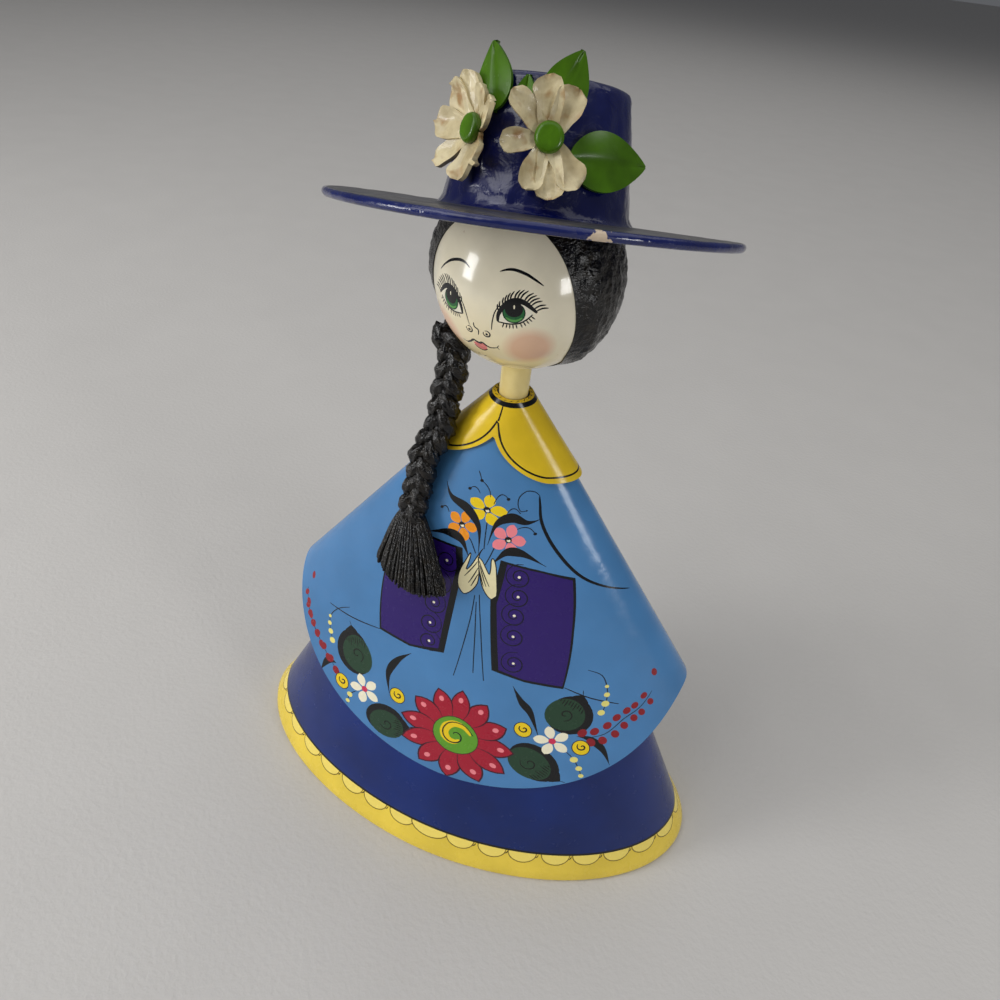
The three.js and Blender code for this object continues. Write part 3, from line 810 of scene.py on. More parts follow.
def paint_eye(art, side):
    """A doll's eye: white, green iris, black pupil, heavy upper lid and long lashes."""
    c, s = math.cos(math.radians(FACE_LEAN)), math.sin(math.radians(FACE_LEAN))

    def place(points):
        """Turns points drawn round the left eye's middle into places on the face."""
        apart = [(side * (EYE_APART + x), y) for x, y in points]
        lean = [(x * c - y * s, x * s + y * c) for x, y in apart]
        return [(FACE_MIDDLE[0] + x, FACE_MIDDLE[1] + y) for x, y in lean]

    upper = [
        (-5.2, -3.9), (-4.9, -1.6), (-3.6, 0.6), (-1.8, 2.2), (0.4, 2.8), (2.6, 2.2), (4.4, 0.8),
        (6.2, -0.9)]
    lower = [(-5.2, -3.9), (-2.9, -4.3), (-0.8, -4.4), (1.4, -4), (3.4, -2.8), (4.9, -1.4)]
    art.area("eye_white", place(curve_through([*upper[:-1], *lower[::-1][:-1]], 4)))
    art.area("iris_dark", place(oval(3.35, 3.2, middle=(-0.4, -0.9))))
    art.area("iris", place(oval(3.05, 2.9, middle=(-0.4, -0.95))))
    art.area(
        "iris_light", place([(x, y) for x, y in oval(2.9, 2.75, middle=(-0.4, -0.95)) if y < -2.2]))
    art.area("iris", place(oval(2.7, 2.1, middle=(-0.4, -0.9))))
    art.area("black", place(oval(2.6, 2.4, middle=(-0.4, 0.2))))
    # A painted highlight: a short white stroke in the upper part of the pupil.
    art.area("white", place(oval(0.22, 0.6, middle=(-0.3, 0.9), steps=12)))
    art.line("black", place(upper), 1.6, tip=0.35, steps=5)
    art.line("black", place(lower), 0.5, tip=0.7, steps=4)
    lid = curve_through(upper, 6)
    for i in range(15):
        root = lid[round(lerp(8, len(lid) - 3, i / 14))]
        lean = lerp(118, 24, i / 14)
        length = lerp(2.3, 3.8, smooth(i / 9))
        middle = (root[0] + 0.55 * length * math.cos(math.radians(lean)),
                  root[1] + 0.55 * length * math.sin(math.radians(lean)))
        end = (root[0] + length * math.cos(math.radians(lean - 14)),
               root[1] + length * math.sin(math.radians(lean - 14)) + 0.1)
        art.line("black", place([root, middle, end]), 0.5, tip=0.3, steps=3)
    below = curve_through(lower, 5)
    for i in range(10):
        root = below[round(lerp(4, len(below) - 3, i / 9))]
        lean = math.radians(lerp(-112, -42, i / 9))
        end = (root[0] + 1.6 * math.cos(lean), root[1] + 1.6 * math.sin(lean))
        art.line("black", place([root, end]), 0.42, tip=0.35, steps=3)
    inner = [(-4.4, 1.4), (-6, -1.2), (-6.9, -4.2), (-7.4, -7)]
    art.line("black", place(inner), 0.4, tip=0.5, steps=4)


def paint_face(art):
    """The painted face: brows, eyes, nose, small mouth and round blushes."""
    paint_eye(art, 1)
    paint_eye(art, -1)
    art.line(
        "black", [(5.7, 13), (7.6, 13.9), (10, 14.3), (13.4, 13.7), (16.5, 12.4), (18.9, 11.1)],
        0.85, tip=0.15)
    art.line(
        "black", [(-3.9, 11.4), (-6, 12.3), (-8.6, 12.3), (-12, 11.1), (-15, 8.9), (-17.2, 6.4)],
        0.85, tip=0.15)
    art.line("black", [(-0.6, -3.8), (-0.4, -5.2), (0.9, -6), (0.8, -7.9)], 0.48)
    for x, y in ((-2.4, -6.8), (3.7, -6.5)):
        art.line(
            "black", [(x + a, y + b) for a, b in spiral(1.15, 0.9, 160, 0.9, steps=12)], 0.48,
            steps=2)
        art.area("black", oval(0.45, 0.45, middle=(x, y - 0.2), steps=10))
    art.area(
        "lip",
        [
            (-1.9, -12.2), (-0.7, -11.4), (0.5, -11.3), (1.6, -11), (2.9, -11.9), (3, -13.3),
            (1.6, -14.4), (-0.4, -14.2), (-1.5, -13.3)])
    art.line(
        "black",
        [
            (-6.6, -13.4), (-4.9, -13.7), (-3.3, -12.6), (-1.5, -10.9), (-0.6, -11.2), (0.6, -11.4),
            (1.7, -10.8), (3.2, -11.8), (4.6, -12.1), (6.9, -11.3)],
        0.8, tip=0.3)
    art.line("black", [(-1.6, -13.2), (-0.3, -14.4), (1.5, -14.6), (3, -13.5)], 0.5)
    art.line("black", [(7.3, -10.2), (6.7, -11.2), (7.2, -12.2)], 0.3)
    art.line("black", [(-2.2, -18), (-1.2, -18.7)], 0.35)
    art.line("black", [(0.1, -18.6), (1.4, -18.1)], 0.35)


# The blush is thin at its edge, so it is part of the skin's own paint: two soft pink rounds.
BLUSHES = ((16.6, -10.6), (-15.2, -13.2))
BLUSH_EDGE, BLUSH_CORE, BLUSH_STRENGTH = 8.6, 5.0, 0.52
CHIN = (0, -26)                  # middle of the yellower cream towards the chin
CHIN_EDGE, CHIN_CORE = 30, 10


def skin_paint(name, colour, shade):
    """Cream lacquer, uneven in patches and yellower towards the chin, with the two blushes and a
    few brown specks.
    """
    material, tree, place = new_material(name)
    tone = blend(tree, span(tree, noise_of(tree, place, 16), 0.4, 0.72, 0, 1), colour, shade)
    chin = head_point(*CHIN) * MM
    below = distance_from(tree, place, chin)
    yellower_to_chin = span(tree, below, CHIN_EDGE * MM, CHIN_CORE * MM, 0, 0.6)
    tone = blend(tree, yellower_to_chin, tone, linear("#ead28c"))
    for right, up in BLUSHES:
        away = distance_from(tree, place, head_point(right, up) * MM)
        amount = span(tree, away, BLUSH_EDGE * MM, BLUSH_CORE * MM, 0, BLUSH_STRENGTH)
        tone = blend(tree, amount, tone, linear("#dc8a68"))
    specks = span(tree, noise_of(tree, place, 2.4, 1), 0.79, 0.85, 0, 0.55)
    tone = blend(tree, specks, tone, linear("#a8804a"))
    settings = {"IOR": 1.42, "Coat Weight": 0.35, "Coat Roughness": 0.05}
    rough = uneven(tree, place, 5, 0.14, 0.22)
    bumps = [(noise_of(tree, place, 12, 2), 0.06), (noise_of(tree, place, 1.5, 2), 0.01)]
    close_material(tree, settings, {"Base Color": tone, "Roughness": rough}, bumps)
    return material


# Hair: plant fibre combed over the ball and drenched in black lacquer
def back_point(right, up, radius=HEAD_RADIUS):
    """A flat map like the face's, centred on the back of the head."""
    arc = math.hypot(right, up) / HEAD_RADIUS
    side = (-FACE_RIGHT * right + FACE_UP * up).normalized() if arc > 1e-9 else FACE_UP
    return HEAD_PLACE + (side * math.sin(arc) - FACE_FORWARD * math.cos(arc)) * radius


def back_place(direction):
    arc = math.acos(max(min(-direction.dot(FACE_FORWARD), 1), -1)) * HEAD_RADIUS
    side = Vector((-direction.dot(FACE_RIGHT), direction.dot(FACE_UP)))
    return tuple(side.normalized() * arc)


def distance_to(outline, place):
    """How far a place of a flat map is from a closed outline."""
    nearest = 1e9
    for a, b in zip(outline, outline[1:] + outline[:1]):
        near, t = geometry.intersect_point_line(place, a, b)
        nearest = min(nearest, (place - (a if t < 0 else b if t > 1 else near)).length)
    return nearest


HAIR_OUTER = 31
LACQUERED_EDGE = 7               # the smooth band of painted hair beside the face


def hair_radius(outline, place):
    """The hair rises from a smooth painted edge to combed, clotted locks."""
    rise = smooth(distance_to(outline, Vector(place)) / LACQUERED_EDGE)
    spot = (back_point(*place) - HEAD_PLACE) / HEAD_RADIUS
    around, height = math.atan2(spot.y, spot.x), spot.z
    combed = noise.noise(Vector((around * 7, height * 1.6, 3.7))) + 0.6 * noise.noise(
        Vector((around * 19, height * 3.2, 9.1)))
    strands = noise.noise(Vector((around * 46, height * 5, 1.3)))
    clots = noise.noise(spot * 12)
    return lerp(HEAD_RADIUS + 0.35, HAIR_OUTER, rise) + rise * (
        0.36 * combed + 0.2 * strands + 0.42 * clots)


# Sweeps along a path
def smooth_path(points, step):
    """A smooth curve through points in space, at equal steps."""
    ends = [points[0], *points, points[-1]]
    dense = []
    for a, b, c, d in zip(ends, ends[1:], ends[2:], ends[3:]):
        for i in range(24):
            t = i / 24
            dense.append(0.5 * (2 * b + (c - a) * t + (2 * a - 5 * b + 4 * c - d) * t * t
                                + (3 * b - a - 3 * c + d) * t ** 3))
    dense.append(points[-1])
    total = sum((b - a).length for a, b in zip(dense, dense[1:]))
    count = max(round(total / step), 2)
    path, reach, k = [dense[0]], 0.0, 0
    for i in range(1, count):
        goal = total * i / count
        while reach + (dense[k + 1] - dense[k]).length < goal:
            reach += (dense[k + 1] - dense[k]).length
            k += 1
        path.append(dense[k].lerp(dense[k + 1], (goal - reach) / (dense[k + 1] - dense[k]).length))
    return [*path, points[-1]]


def sweep(bm, path, radius, sides, relief=None):
    """Extrudes a ring along a path; radius(t) and relief(t, angle) are in mm."""
    level = Vector((0, 0, 1))
    ring = bmesh.ops.create_circle(bm, segments=sides, radius=MM, cap_ends=True)["verts"]
    last = len(path) - 1
    for i, centre in enumerate(path):
        along = (path[min(i + 1, last)] - path[max(i - 1, 0)]).normalized()
        if i == 0:
            level = along.orthogonal().normalized()
        else:
            edges = [
                e for e in {e for v in ring for e in v.link_edges}
                if all(v in ring for v in e.verts)]
            made = bmesh.ops.extrude_edge_only(bm, edges=edges)["geom"]
            step_map = {v: next(e.other_vert(v) for e in v.link_edges if e.other_vert(v) in ring)
                        for v in made if isinstance(v, bmesh.types.BMVert)}
            ring = [next(new for new, old in step_map.items() if old is v) for v in ring]
        level = (level - along * level.dot(along)).normalized()
        upright = along.cross(level)
        for k, vert in enumerate(ring):
            angle = 2 * math.pi * k / sides
            reach = radius(i / last) + (relief(i / last, angle) if relief else 0)
            vert.co = (centre + (level * math.cos(angle) + upright * math.sin(angle)) * reach) * MM
    bmesh.ops.contextual_create(bm, geom=ring)


# Plait, as in the solid model: its middle runs from beside the jaw, past the collar, down the cape
STRAND_RADIUS, PLAIT_SWING, PLAIT_DEPTH, PLAIT_PITCH = 3.1, 3.4, 1.2, 21
PLAIT_HALF_THICKNESS = STRAND_RADIUS + PLAIT_DEPTH
HAIR_THICKNESS = 2.2
TIE_HEIGHT, BRUSH_END_HEIGHT = 177, 151
BRUSH_HALF_WIDTH, BRUSH_HALF_DEPTH = 17, 5.2
PLAIT_TURN_TOP, PLAIT_TURN_END = -52, -20
PLAIT_PLAY = 0.5                 # extra room under the strands where the cape bulges
PLAIT_STEP = 0.5                 # between two rings of a strand
STRAND_SIDES, STRAND_RIDGES, STRAND_BEADS = 30, 8, 11


def beside_head(turn, rise, out):
    a, e = math.radians(turn), math.radians(rise)
    direction = Vector((math.sin(a) * math.cos(e), -math.cos(a) * math.cos(e), math.sin(e)))
    return HEAD_PLACE + direction * (HEAD_RADIUS + HAIR_THICKNESS + out)


def plait_on_cape(z, room):
    turn = lerp(PLAIT_TURN_END, PLAIT_TURN_TOP, share(z, BRUSH_END_HEIGHT, COLLAR_HEIGHT))
    return cape_point(turn, z, room)


def plait_path():
    over = PLAIT_HALF_THICKNESS + GLUE_GAP + PLAIT_PLAY
    over_collar = over + COLLAR_WALL + GLUE_GAP + COLLAR_FLARE
    jaw = beside_head(-78, -56, PLAIT_HALF_THICKNESS + 2.5)
    shoulder = plait_on_cape(COLLAR_HEIGHT + 9, over_collar)
    return smooth_path(
        [
            beside_head(-92, -42, PLAIT_HALF_THICKNESS + 1.2), jaw, jaw.lerp(shoulder, 0.5),
            shoulder, plait_on_cape(COLLAR_HEIGHT - 1, over_collar),
            plait_on_cape(lerp(COLLAR_HEIGHT, TIE_HEIGHT, 0.4), over + 0.6),
            plait_on_cape(lerp(COLLAR_HEIGHT, TIE_HEIGHT, 0.7), over),
            plait_on_cape(TIE_HEIGHT, over)],
        PLAIT_STEP)


def plait_frame(path, i):
    """Sideways across the plait and out from the cape, at a point of its path."""
    along = (path[min(i + 1, len(path) - 1)] - path[max(i - 1, 0)]).normalized()
    across = along.cross(Vector((-0.35, -1, 0.2))).normalized()
    return across, across.cross(along).normalized()


def build_strands(bm):
    """Three twisted cords of fibre, plaited."""
    path = plait_path()
    turns = sum((b - a).length for a, b in zip(path, path[1:])) / PLAIT_PITCH
    for strand in range(3):
        line = []
        for i, middle in enumerate(path):
            across, out = plait_frame(path, i)
            turn = 2 * math.pi * (turns * i / (len(path) - 1) + strand / 3)
            line.append(
                middle + across * PLAIT_SWING * math.sin(turn)
                + out * PLAIT_DEPTH * math.sin(2 * turn))

        def twist(t, angle, strand=strand):
            ridges = math.sin(STRAND_RIDGES * angle + 2 * math.pi * t * turns * 3.4)
            fibres = noise.noise(
                Vector((math.cos(angle) * 2.2, math.sin(angle) * 2.2 + strand * 7, t * 90)))
            beads = math.sin(2 * math.pi * t * turns * STRAND_BEADS + 5 * angle)
            return 0.2 * ridges + 0.26 * fibres + 0.2 * beads

        sweep(bm, line, lambda t: STRAND_RADIUS - 0.15, STRAND_SIDES, twist)


def build_brush(bm, tufts):
    """The loose end below the tie: a fan of stiff tufts over a solid heart."""
    path = plait_path()
    foot = plait_on_cape(TIE_HEIGHT + 3, PLAIT_HALF_THICKNESS + GLUE_GAP)
    end = plait_on_cape(BRUSH_END_HEIGHT, BRUSH_HALF_DEPTH + 3.3)
    across, _ = plait_frame(path, len(path) - 1)
    along = (end - foot).normalized()
    out = across.cross(along).normalized()
    length = (end - foot).length

    def spot(t, side, depth):
        width = lerp(STRAND_RADIUS, BRUSH_HALF_WIDTH + 1.5, t ** 0.62)
        thick = lerp(STRAND_RADIUS - 0.4, BRUSH_HALF_DEPTH - 1, t ** 0.8)
        sag = 5.5 * t * t * side * side
        return foot + along * (length * t - sag) + across * width * side + out * thick * depth

    heart = [spot(t / 12, 0, 0) for t in range(12)]
    sweep(bm, heart, lambda t: lerp(STRAND_RADIUS - 0.3, 3.6, t), 16)
    golden = math.pi * (3 - math.sqrt(5))
    for i in range(tufts):
        reach = math.sqrt((i + 0.5) / tufts)
        side, depth = reach * math.cos(i * golden), reach * math.sin(i * golden)
        wander = noise.noise(Vector((i * 0.37, 4.2, 0)))
        last = 1 - 0.04 * abs(wander) - 0.015 * (i % 3)
        tuft = [
            spot(last * k / 12, side + 0.07 * wander * math.sin(k * 0.5), depth) for k in range(13)]
        thickness = 0.95 - 0.2 * abs(wander)
        sweep(bm, tuft, lambda t, w=thickness: w * lerp(0.8, 1, t) * (1 if t < 0.97 else 0.55), 6)


# Hat, in its own frame: the brim's underside is z = 0 and the crown stands on +Z
BRIM_RADIUS, BRIM_THICKNESS, BRIM_LIFT = 62.7, 2.5, 0.5
CROWN_HEIGHT, CROWN_FOOT_RADIUS, CROWN_TOP_RADIUS, CROWN_DOME = 34, 28.8, 22.9, 1.2
HAT_SEAT, HAT_TILT_BACK, HAT_LEAN = 15, 15.6, -3.8
HAT_LEANING = Matrix.Rotation(math.radians(HAT_LEAN), 4, "Y")
HAT_TURN = HAT_LEANING @ Matrix.Rotation(math.radians(-HAT_TILT_BACK), 4, "X")
HAT_PLACE = Matrix.Translation(HEAD_PLACE + HAT_TURN @ Vector((0, 0, HAT_SEAT))) @ HAT_TURN
HAT_HOLE = math.sqrt((HEAD_RADIUS + HAIR_THICKNESS) ** 2 - HAT_SEAT ** 2) + GLUE_GAP


def crown_radius(height):
    return lerp(
        CROWN_FOOT_RADIUS, CROWN_TOP_RADIUS,
        share(height, BRIM_THICKNESS, BRIM_THICKNESS + CROWN_HEIGHT))


def on_crown(turn, height, out):
    """A place on the crown: turned from the front towards +X, over the brim, out from the crown."""
    angle = math.radians(turn - 90)
    z = BRIM_THICKNESS + height
    radius = crown_radius(z) + out
    return Vector((radius * math.cos(angle), radius * math.sin(angle), z))


def to_figure(bm):
    """From the hat's own frame in mm to the figure's place in metres."""
    bmesh.ops.transform(bm, matrix=Matrix.Scale(MM, 4) @ HAT_PLACE, verts=bm.verts[:])


def hat_profile():
    """Radius and height from under the crown, out along the brim and up to the top's middle."""
    top = BRIM_THICKNESS + CROWN_HEIGHT
    corner = 1.6
    profile = [
        (0.001, top - 1.5), (crown_radius(top) - 1.5, top - 1.5), (HAT_HOLE, 0.4),
        (HAT_HOLE + 0.6, 0)]
    profile += [(lerp(HAT_HOLE + 0.6, BRIM_RADIUS - 1.2, i / 12), 0) for i in range(1, 13)]
    half = BRIM_THICKNESS / 2
    for i in range(1, 8):
        angle = math.radians(-90 + 180 * i / 8)
        profile.append((BRIM_RADIUS - half + half * math.cos(angle), half + half * math.sin(angle)))
    foot = CROWN_FOOT_RADIUS + 2.4
    profile += [(lerp(BRIM_RADIUS - 1.2, foot, i / 14), BRIM_THICKNESS) for i in range(15)]
    profile += [
        (CROWN_FOOT_RADIUS + 1, BRIM_THICKNESS + 0.35),
        (CROWN_FOOT_RADIUS + 0.2, BRIM_THICKNESS + 1.3)]
    low, high = BRIM_THICKNESS + 2.6, top - corner
    profile += [(crown_radius(lerp(low, high, i / 16)), lerp(low, high, i / 16)) for i in range(17)]
    for i in range(1, 5):
        angle = math.radians(90 * i / 5)
        profile.append(
            (CROWN_TOP_RADIUS - corner * (1 - math.cos(angle)), high + corner * math.sin(angle)))
    for i in range(7):
        r = (CROWN_TOP_RADIUS - corner) * (1 - i / 6)
        profile.append((max(r, 0.001), top + CROWN_DOME * (1 - (r / CROWN_TOP_RADIUS) ** 2) * 0.75))
    return profile


def build_hat(bm, steps, wrinkle):
    verts = [bm.verts.new((radius, 0, z)) for radius, z in hat_profile()]
    edges = [bm.edges.new(pair) for pair in zip(verts, verts[1:])]
    bmesh.ops.spin(bm, geom=verts + edges, axis=(0, 0, 1), cent=(0, 0, 0), steps=steps,
                   angle=2 * math.pi, use_merge=True, use_duplicate=False)
    bmesh.ops.remove_doubles(bm, verts=bm.verts[:], dist=0.01)
    for vert in bm.verts:
        radius, angle = math.hypot(vert.co.x, vert.co.y), math.atan2(vert.co.y, vert.co.x)
        out = max(share(radius, CROWN_FOOT_RADIUS + 2.2, BRIM_RADIUS), 0)
        vert.co.z += BRIM_LIFT * out * out * math.cos(2 * angle)
        if vert.co.z > BRIM_THICKNESS + 1 and radius > CROWN_TOP_RADIUS - 6:
            dent = noise.noise(Vector((vert.co.x, vert.co.y, vert.co.z * 1.2)) / 9)
            crease = noise.noise(Vector((vert.co.x, vert.co.y, vert.co.z * 1.3)) / 4)
            scale = 1 - wrinkle * max(0.2 + dent + 0.5 * crease, 0) / radius
            vert.co.x *= scale
            vert.co.y *= scale
        elif radius > CROWN_FOOT_RADIUS + 3:
            vert.co.z -= 0.25 * max(noise.noise(vert.co / 9), 0) * (1 if vert.co.z > 1.6 else 0)
    for face in bm.faces:
        middle = face.calc_center_median()
        radius = math.hypot(middle.x, middle.y)
        if radius > BRIM_RADIUS - BRIM_THICKNESS / 2:
            face.material_index = 2
        elif radius > CROWN_FOOT_RADIUS + 1.4 and middle.z > BRIM_THICKNESS / 2:
            face.material_index = 1
    bmesh.ops.recalc_face_normals(bm, faces=bm.faces[:])
    to_figure(bm)


# Flowers and leaves on the crown
FLOWER_CENTRE_RADIUS, FLOWER_ROOM, PETAL_CURL = 3.9, 2.6, 2.6
FLOWERS = {
    "flower_right": {
        "turn": 17.6, "height": 19, "face_turn": 22, "face_rise": 4,
        "petals": ((64, 11), (99, 12), (139, 12.5), (192, 11), (249, 12), (278, 13), (309, 12.5))},
    "flower_left": {
        "turn": -28.4, "height": 19.2, "face_turn": -36, "face_rise": 8,
        "petals": (
            (32, 9.5), (72, 9), (108, 12.5), (138, 13), (175, 14), (215, 14), (270, 11.5),
            (312, 9.5))},
}
LEAF_TRIM = 0.2                  # keeps a tip inside the solid leaf
# Each leaf: turn, height and direction of its stalk, then its length, half width and lift
LEAVES = {
    "leaf_right": (30, 15, 3, 23, 7, 4.5), "leaf_back": (18, 25, 68, 16, 5.4, 1),
    "leaf_inner": (0, 25, 88, 8, 2.2, 0.4), "leaf_left": (-18, 24, 106, 17, 5.4, 0.8),
    "leaf_low": (-56, 19, 172, 10, 2.8, 0.5),
}


def flower_frame(spec):
    """Turns a flower that faces +z in its own frame to its place on the crown."""
    turn, rise = math.radians(spec["face_turn"]), math.radians(spec["face_rise"])
    facing = Vector(
        (math.sin(turn) * math.cos(rise), -math.cos(turn) * math.cos(rise), math.sin(rise)))
    level = Vector((0, 0, 1)).cross(facing).normalized()
    upward = facing.cross(level).normalized()
    turned = Matrix((level, upward, facing)).transposed().to_4x4()
    return Matrix.Translation(on_crown(spec["turn"], spec["height"], FLOWER_ROOM)) @ turned


def add_petal(bm, direction, length, seed, thickness):
    """A pinched sheet of paper pulp, cupped along its middle, with a curled tip and uneven edge."""
    rows, columns = 12, 8
    made = bmesh.ops.create_grid(bm, x_segments=rows, y_segments=columns, size=0.5)["verts"]
    for vert in made:
        t, across = vert.co.x + 0.5, vert.co.y * 2
        ragged = 1 + 0.22 * noise.noise(Vector((t * 3, across, seed)))
        wide = lerp(3.1, 4.3, 0.5 + 0.5 * math.sin(seed * 5.1))
        rounded = math.sqrt(max(1 - max(share(t, 0.6, 1.0), 0) ** 2.6, 0.03))
        half = wide * (0.6 + 0.5 * t) * rounded * ragged
        fold = 1.1 * math.sin(seed * 2.3)
        cup = 0.085 * (half * across) ** 2 + fold * across * t
        wave = 1.3 * noise.noise(Vector((t * 2.8, across * 1.6, seed * 1.7)))
        x = 0.6 * FLOWER_CENTRE_RADIUS + (length - 0.6) * t
        vert.co = Vector((x, half * across, -0.3 + cup + PETAL_CURL * t * t + wave * t))
    faces = list({f for v in made for f in v.link_faces})
    shell = bmesh.ops.solidify(bm, geom=faces, thickness=thickness)["geom"]
    verts = list(set(made) | {v for v in shell if isinstance(v, bmesh.types.BMVert)})
    bmesh.ops.rotate(
        bm, verts=verts, cent=(0, 0, 0), matrix=Matrix.Rotation(math.radians(direction), 3, "Z"))


def build_flower(bm, spec, thickness):
    for i, (direction, length) in enumerate(spec["petals"]):
        add_petal(bm, direction, length, i + spec["turn"], thickness)
    dome = bmesh.ops.create_uvsphere(
        bm, u_segments=28, v_segments=14, radius=FLOWER_CENTRE_RADIUS)["verts"]
    for vert in dome:
        flat = min(max(vert.co.z, -2.0), 2.0 + 0.12 * vert.co.z)
        vert.co.z = 0.6 + flat * 0.62 + 0.12 * noise.noise(vert.co / 1.2)
    for face in {f for v in dome for f in v.link_faces}:
        face.material_index = 1
    bmesh.ops.recalc_face_normals(bm, faces=bm.faces[:])
    bmesh.ops.transform(bm, matrix=flower_frame(spec), verts=bm.verts[:])
    to_figure(bm)


def build_leaf(bm, turn, height, direction, length, half, lift, thickness=0.9):
    """A leaf cut from card and bent round the crown, pointed at its tip, with a low midrib."""
    c, s = math.cos(math.radians(direction)), math.sin(math.radians(direction))
    bmesh.ops.create_grid(bm, x_segments=24, y_segments=12, size=0.5)
    for vert in bm.verts:
        t, side = vert.co.x + 0.5, vert.co.y * 2
        width = half * max(math.sin(math.pi * t ** 0.75), 0) ** 0.85 + 0.3
        across = width * side
        reach = (length - LEAF_TRIM) * t
        level, up = reach * c - across * s, reach * s + across * c
        out = GLUE_GAP + thickness + lift * t * t + 0.6 * (across / half) ** 2 - 0.3 * max(
            1 - abs(side) * 5, 0)
        around = math.degrees(level / crown_radius(BRIM_THICKNESS + height))
        vert.co = on_crown(turn + around, height + up, out)
    bmesh.ops.recalc_face_normals(bm, faces=bm.faces[:])
    middles = ((f, f.calc_center_median()) for f in bm.faces)
    if sum(f.normal.dot(Vector((middle.x, middle.y, 0))) for f, middle in middles) < 0:
        bmesh.ops.reverse_faces(bm, faces=bm.faces[:])
    bmesh.ops.solidify(bm, geom=bm.faces[:], thickness=thickness)
    bmesh.ops.recalc_face_normals(bm, faces=bm.faces[:])
    to_figure(bm)


# Materials of the rest
def fibre_lacquer(name, colour):
    """Stiff plant fibre drenched in black lacquer: clotted strands with small hard glints."""
    material, tree, place = new_material(name)
    tone = blend(
        tree, span(tree, noise_of(tree, place, 2.5), 0.45, 0.75, 0, 1), colour, linear("#1c160c"))
    rough = span(tree, noise_of(tree, place, 1.4), 0.35, 0.65, 0.05, 0.24)
    bumps = [(noise_of(tree, place, 1.6, 4), 0.55), (noise_of(tree, place, 0.6, 2), 0.2)]
    settings = {"IOR": 1.4, "Coat Weight": 0.05, "Coat Roughness": 0.04}
    close_material(tree, settings, {"Base Color": tone, "Roughness": rough}, bumps)
    return material


CHIP_TURN = 30                   # where paint is missing at the rim
CHIP_EDGE, CHIP_CORE = 2.7, 2.4


def hat_lacquer(name, colour, sheen_colour, dull=0.0):
    """Dark blue lacquer that wrinkled as it dried, dull on the brim, with a chip down to paper."""
    material, tree, place = new_material(name)
    tone = blend(
        tree, span(tree, noise_of(tree, place, 13, 4), 0.45, 0.7, 0, 0.8), colour, sheen_colour)
    turn = math.radians(CHIP_TURN)
    chip = HAT_PLACE @ Vector((BRIM_RADIUS * math.sin(turn), -BRIM_RADIUS * math.cos(turn), -0.3))
    away = distance_from(tree, place, chip * MM)
    ragged = add_node(
        tree, "ShaderNodeMath", {"operation": "MULTIPLY_ADD", 1: 5 * MM, 2: -2.5 * MM},
        {0: noise_of(tree, place, 1.3, 3)})
    edge = add_node(
        tree, "ShaderNodeMath", {"operation": "ADD"},
        {0: away, 1: ragged.outputs[0]})
    bare = span(tree, edge.outputs[0], CHIP_EDGE * MM, CHIP_CORE * MM, 0, 1)
    tone = blend(tree, bare, tone, linear("#cdb9a0"))
    rough = uneven(tree, place, 8, 0.12 + dull, 0.3 + dull)
    bumps = [(noise_of(tree, place, 5, 3, 0.6), 0.5), (noise_of(tree, place, 1.3, 2), 0.05)]
    settings = {"IOR": 1.42, "Coat Weight": 0.3 - dull / 2, "Coat Roughness": 0.06}
    close_material(tree, settings, {"Base Color": tone, "Roughness": rough}, bumps)
    return material


def petal_paper(name, colour, stain):
    """Cream paper pulp, thinly varnished and stained brown where the varnish pooled."""
    material, tree, place = new_material(name)
    tone = blend(
        tree, span(tree, noise_of(tree, place, 7, 3), 0.42, 0.7, 0, 0.7), colour, linear("#a08d63"))
    tone = blend(tree, span(tree, noise_of(tree, place, 4.5, 2), 0.54, 0.72, 0, 0.8), tone, stain)
    rough = uneven(tree, place, 2, 0.3, 0.5)
    bumps = [(noise_of(tree, place, 2.2, 4), 0.28), (noise_of(tree, place, 0.6, 2), 0.05)]
    close_material(
        tree, {"IOR": 1.48, "Coat Weight": 0.15}, {"Base Color": tone, "Roughness": rough}, bumps)
    return material


def floor_cloth(name, colour):
    """A pale matt ground."""
    material, tree, place = new_material(name)
    tone = blend(tree, noise_of(tree, place, 60), colour, tuple(0.93 * c for c in colour))
    close_material(
        tree, {"Roughness": 0.9}, {"Base Color": tone}, [(noise_of(tree, place, 3), 0.3)])
    return material


# Settings that a user would change
def colour_setting(name, about, hex_colour):
    return FloatVectorProperty(name=name, description=about, subtype="COLOR", size=3, min=0, max=1,
                               default=linear(hex_colour))


def length_setting(name, about, size_mm, most_mm):
    return FloatProperty(name=name, description=about, unit="LENGTH", min=0, max=most_mm * MM,
                         default=size_mm * MM)


class FigureColours(bpy.types.PropertyGroup):
    """Colours of the figure's finishes."""
    skirt: colour_setting("Skirt", "Dark blue lacquer of the skirt", "#082a74")
    cape: colour_setting("Cape", "Light blue lacquer of the cape", "#4f86bb")
    hem: colour_setting("Hem", "Yellow of the hem band", "#f0d24e")
    collar: colour_setting("Collar", "Yellow of the collar", "#edc92c")
    skin: colour_setting("Skin", "Cream of the face and neck", "#f4ebd0")
    hair: colour_setting("Hair", "Black lacquer of the hair and plait", "#060506")
    hat: colour_setting("Hat", "Dark blue lacquer of the hat", "#0a1148")
    hat_dust: colour_setting("Hat dust", "Grey bloom of dust on top of the brim", "#36373f")
    hat_rim: colour_setting("Hat rim", "Brighter blue on the brim's rounded edge", "#141f5a")
    petal: colour_setting("Petals", "Cream of the flowers on the hat", "#ddcfa6")
    leaf: colour_setting("Leaves", "Green of the leaves and flower centres", "#4b7611")
    floor: colour_setting("Floor", "Pale ground", "#c9c6c2")


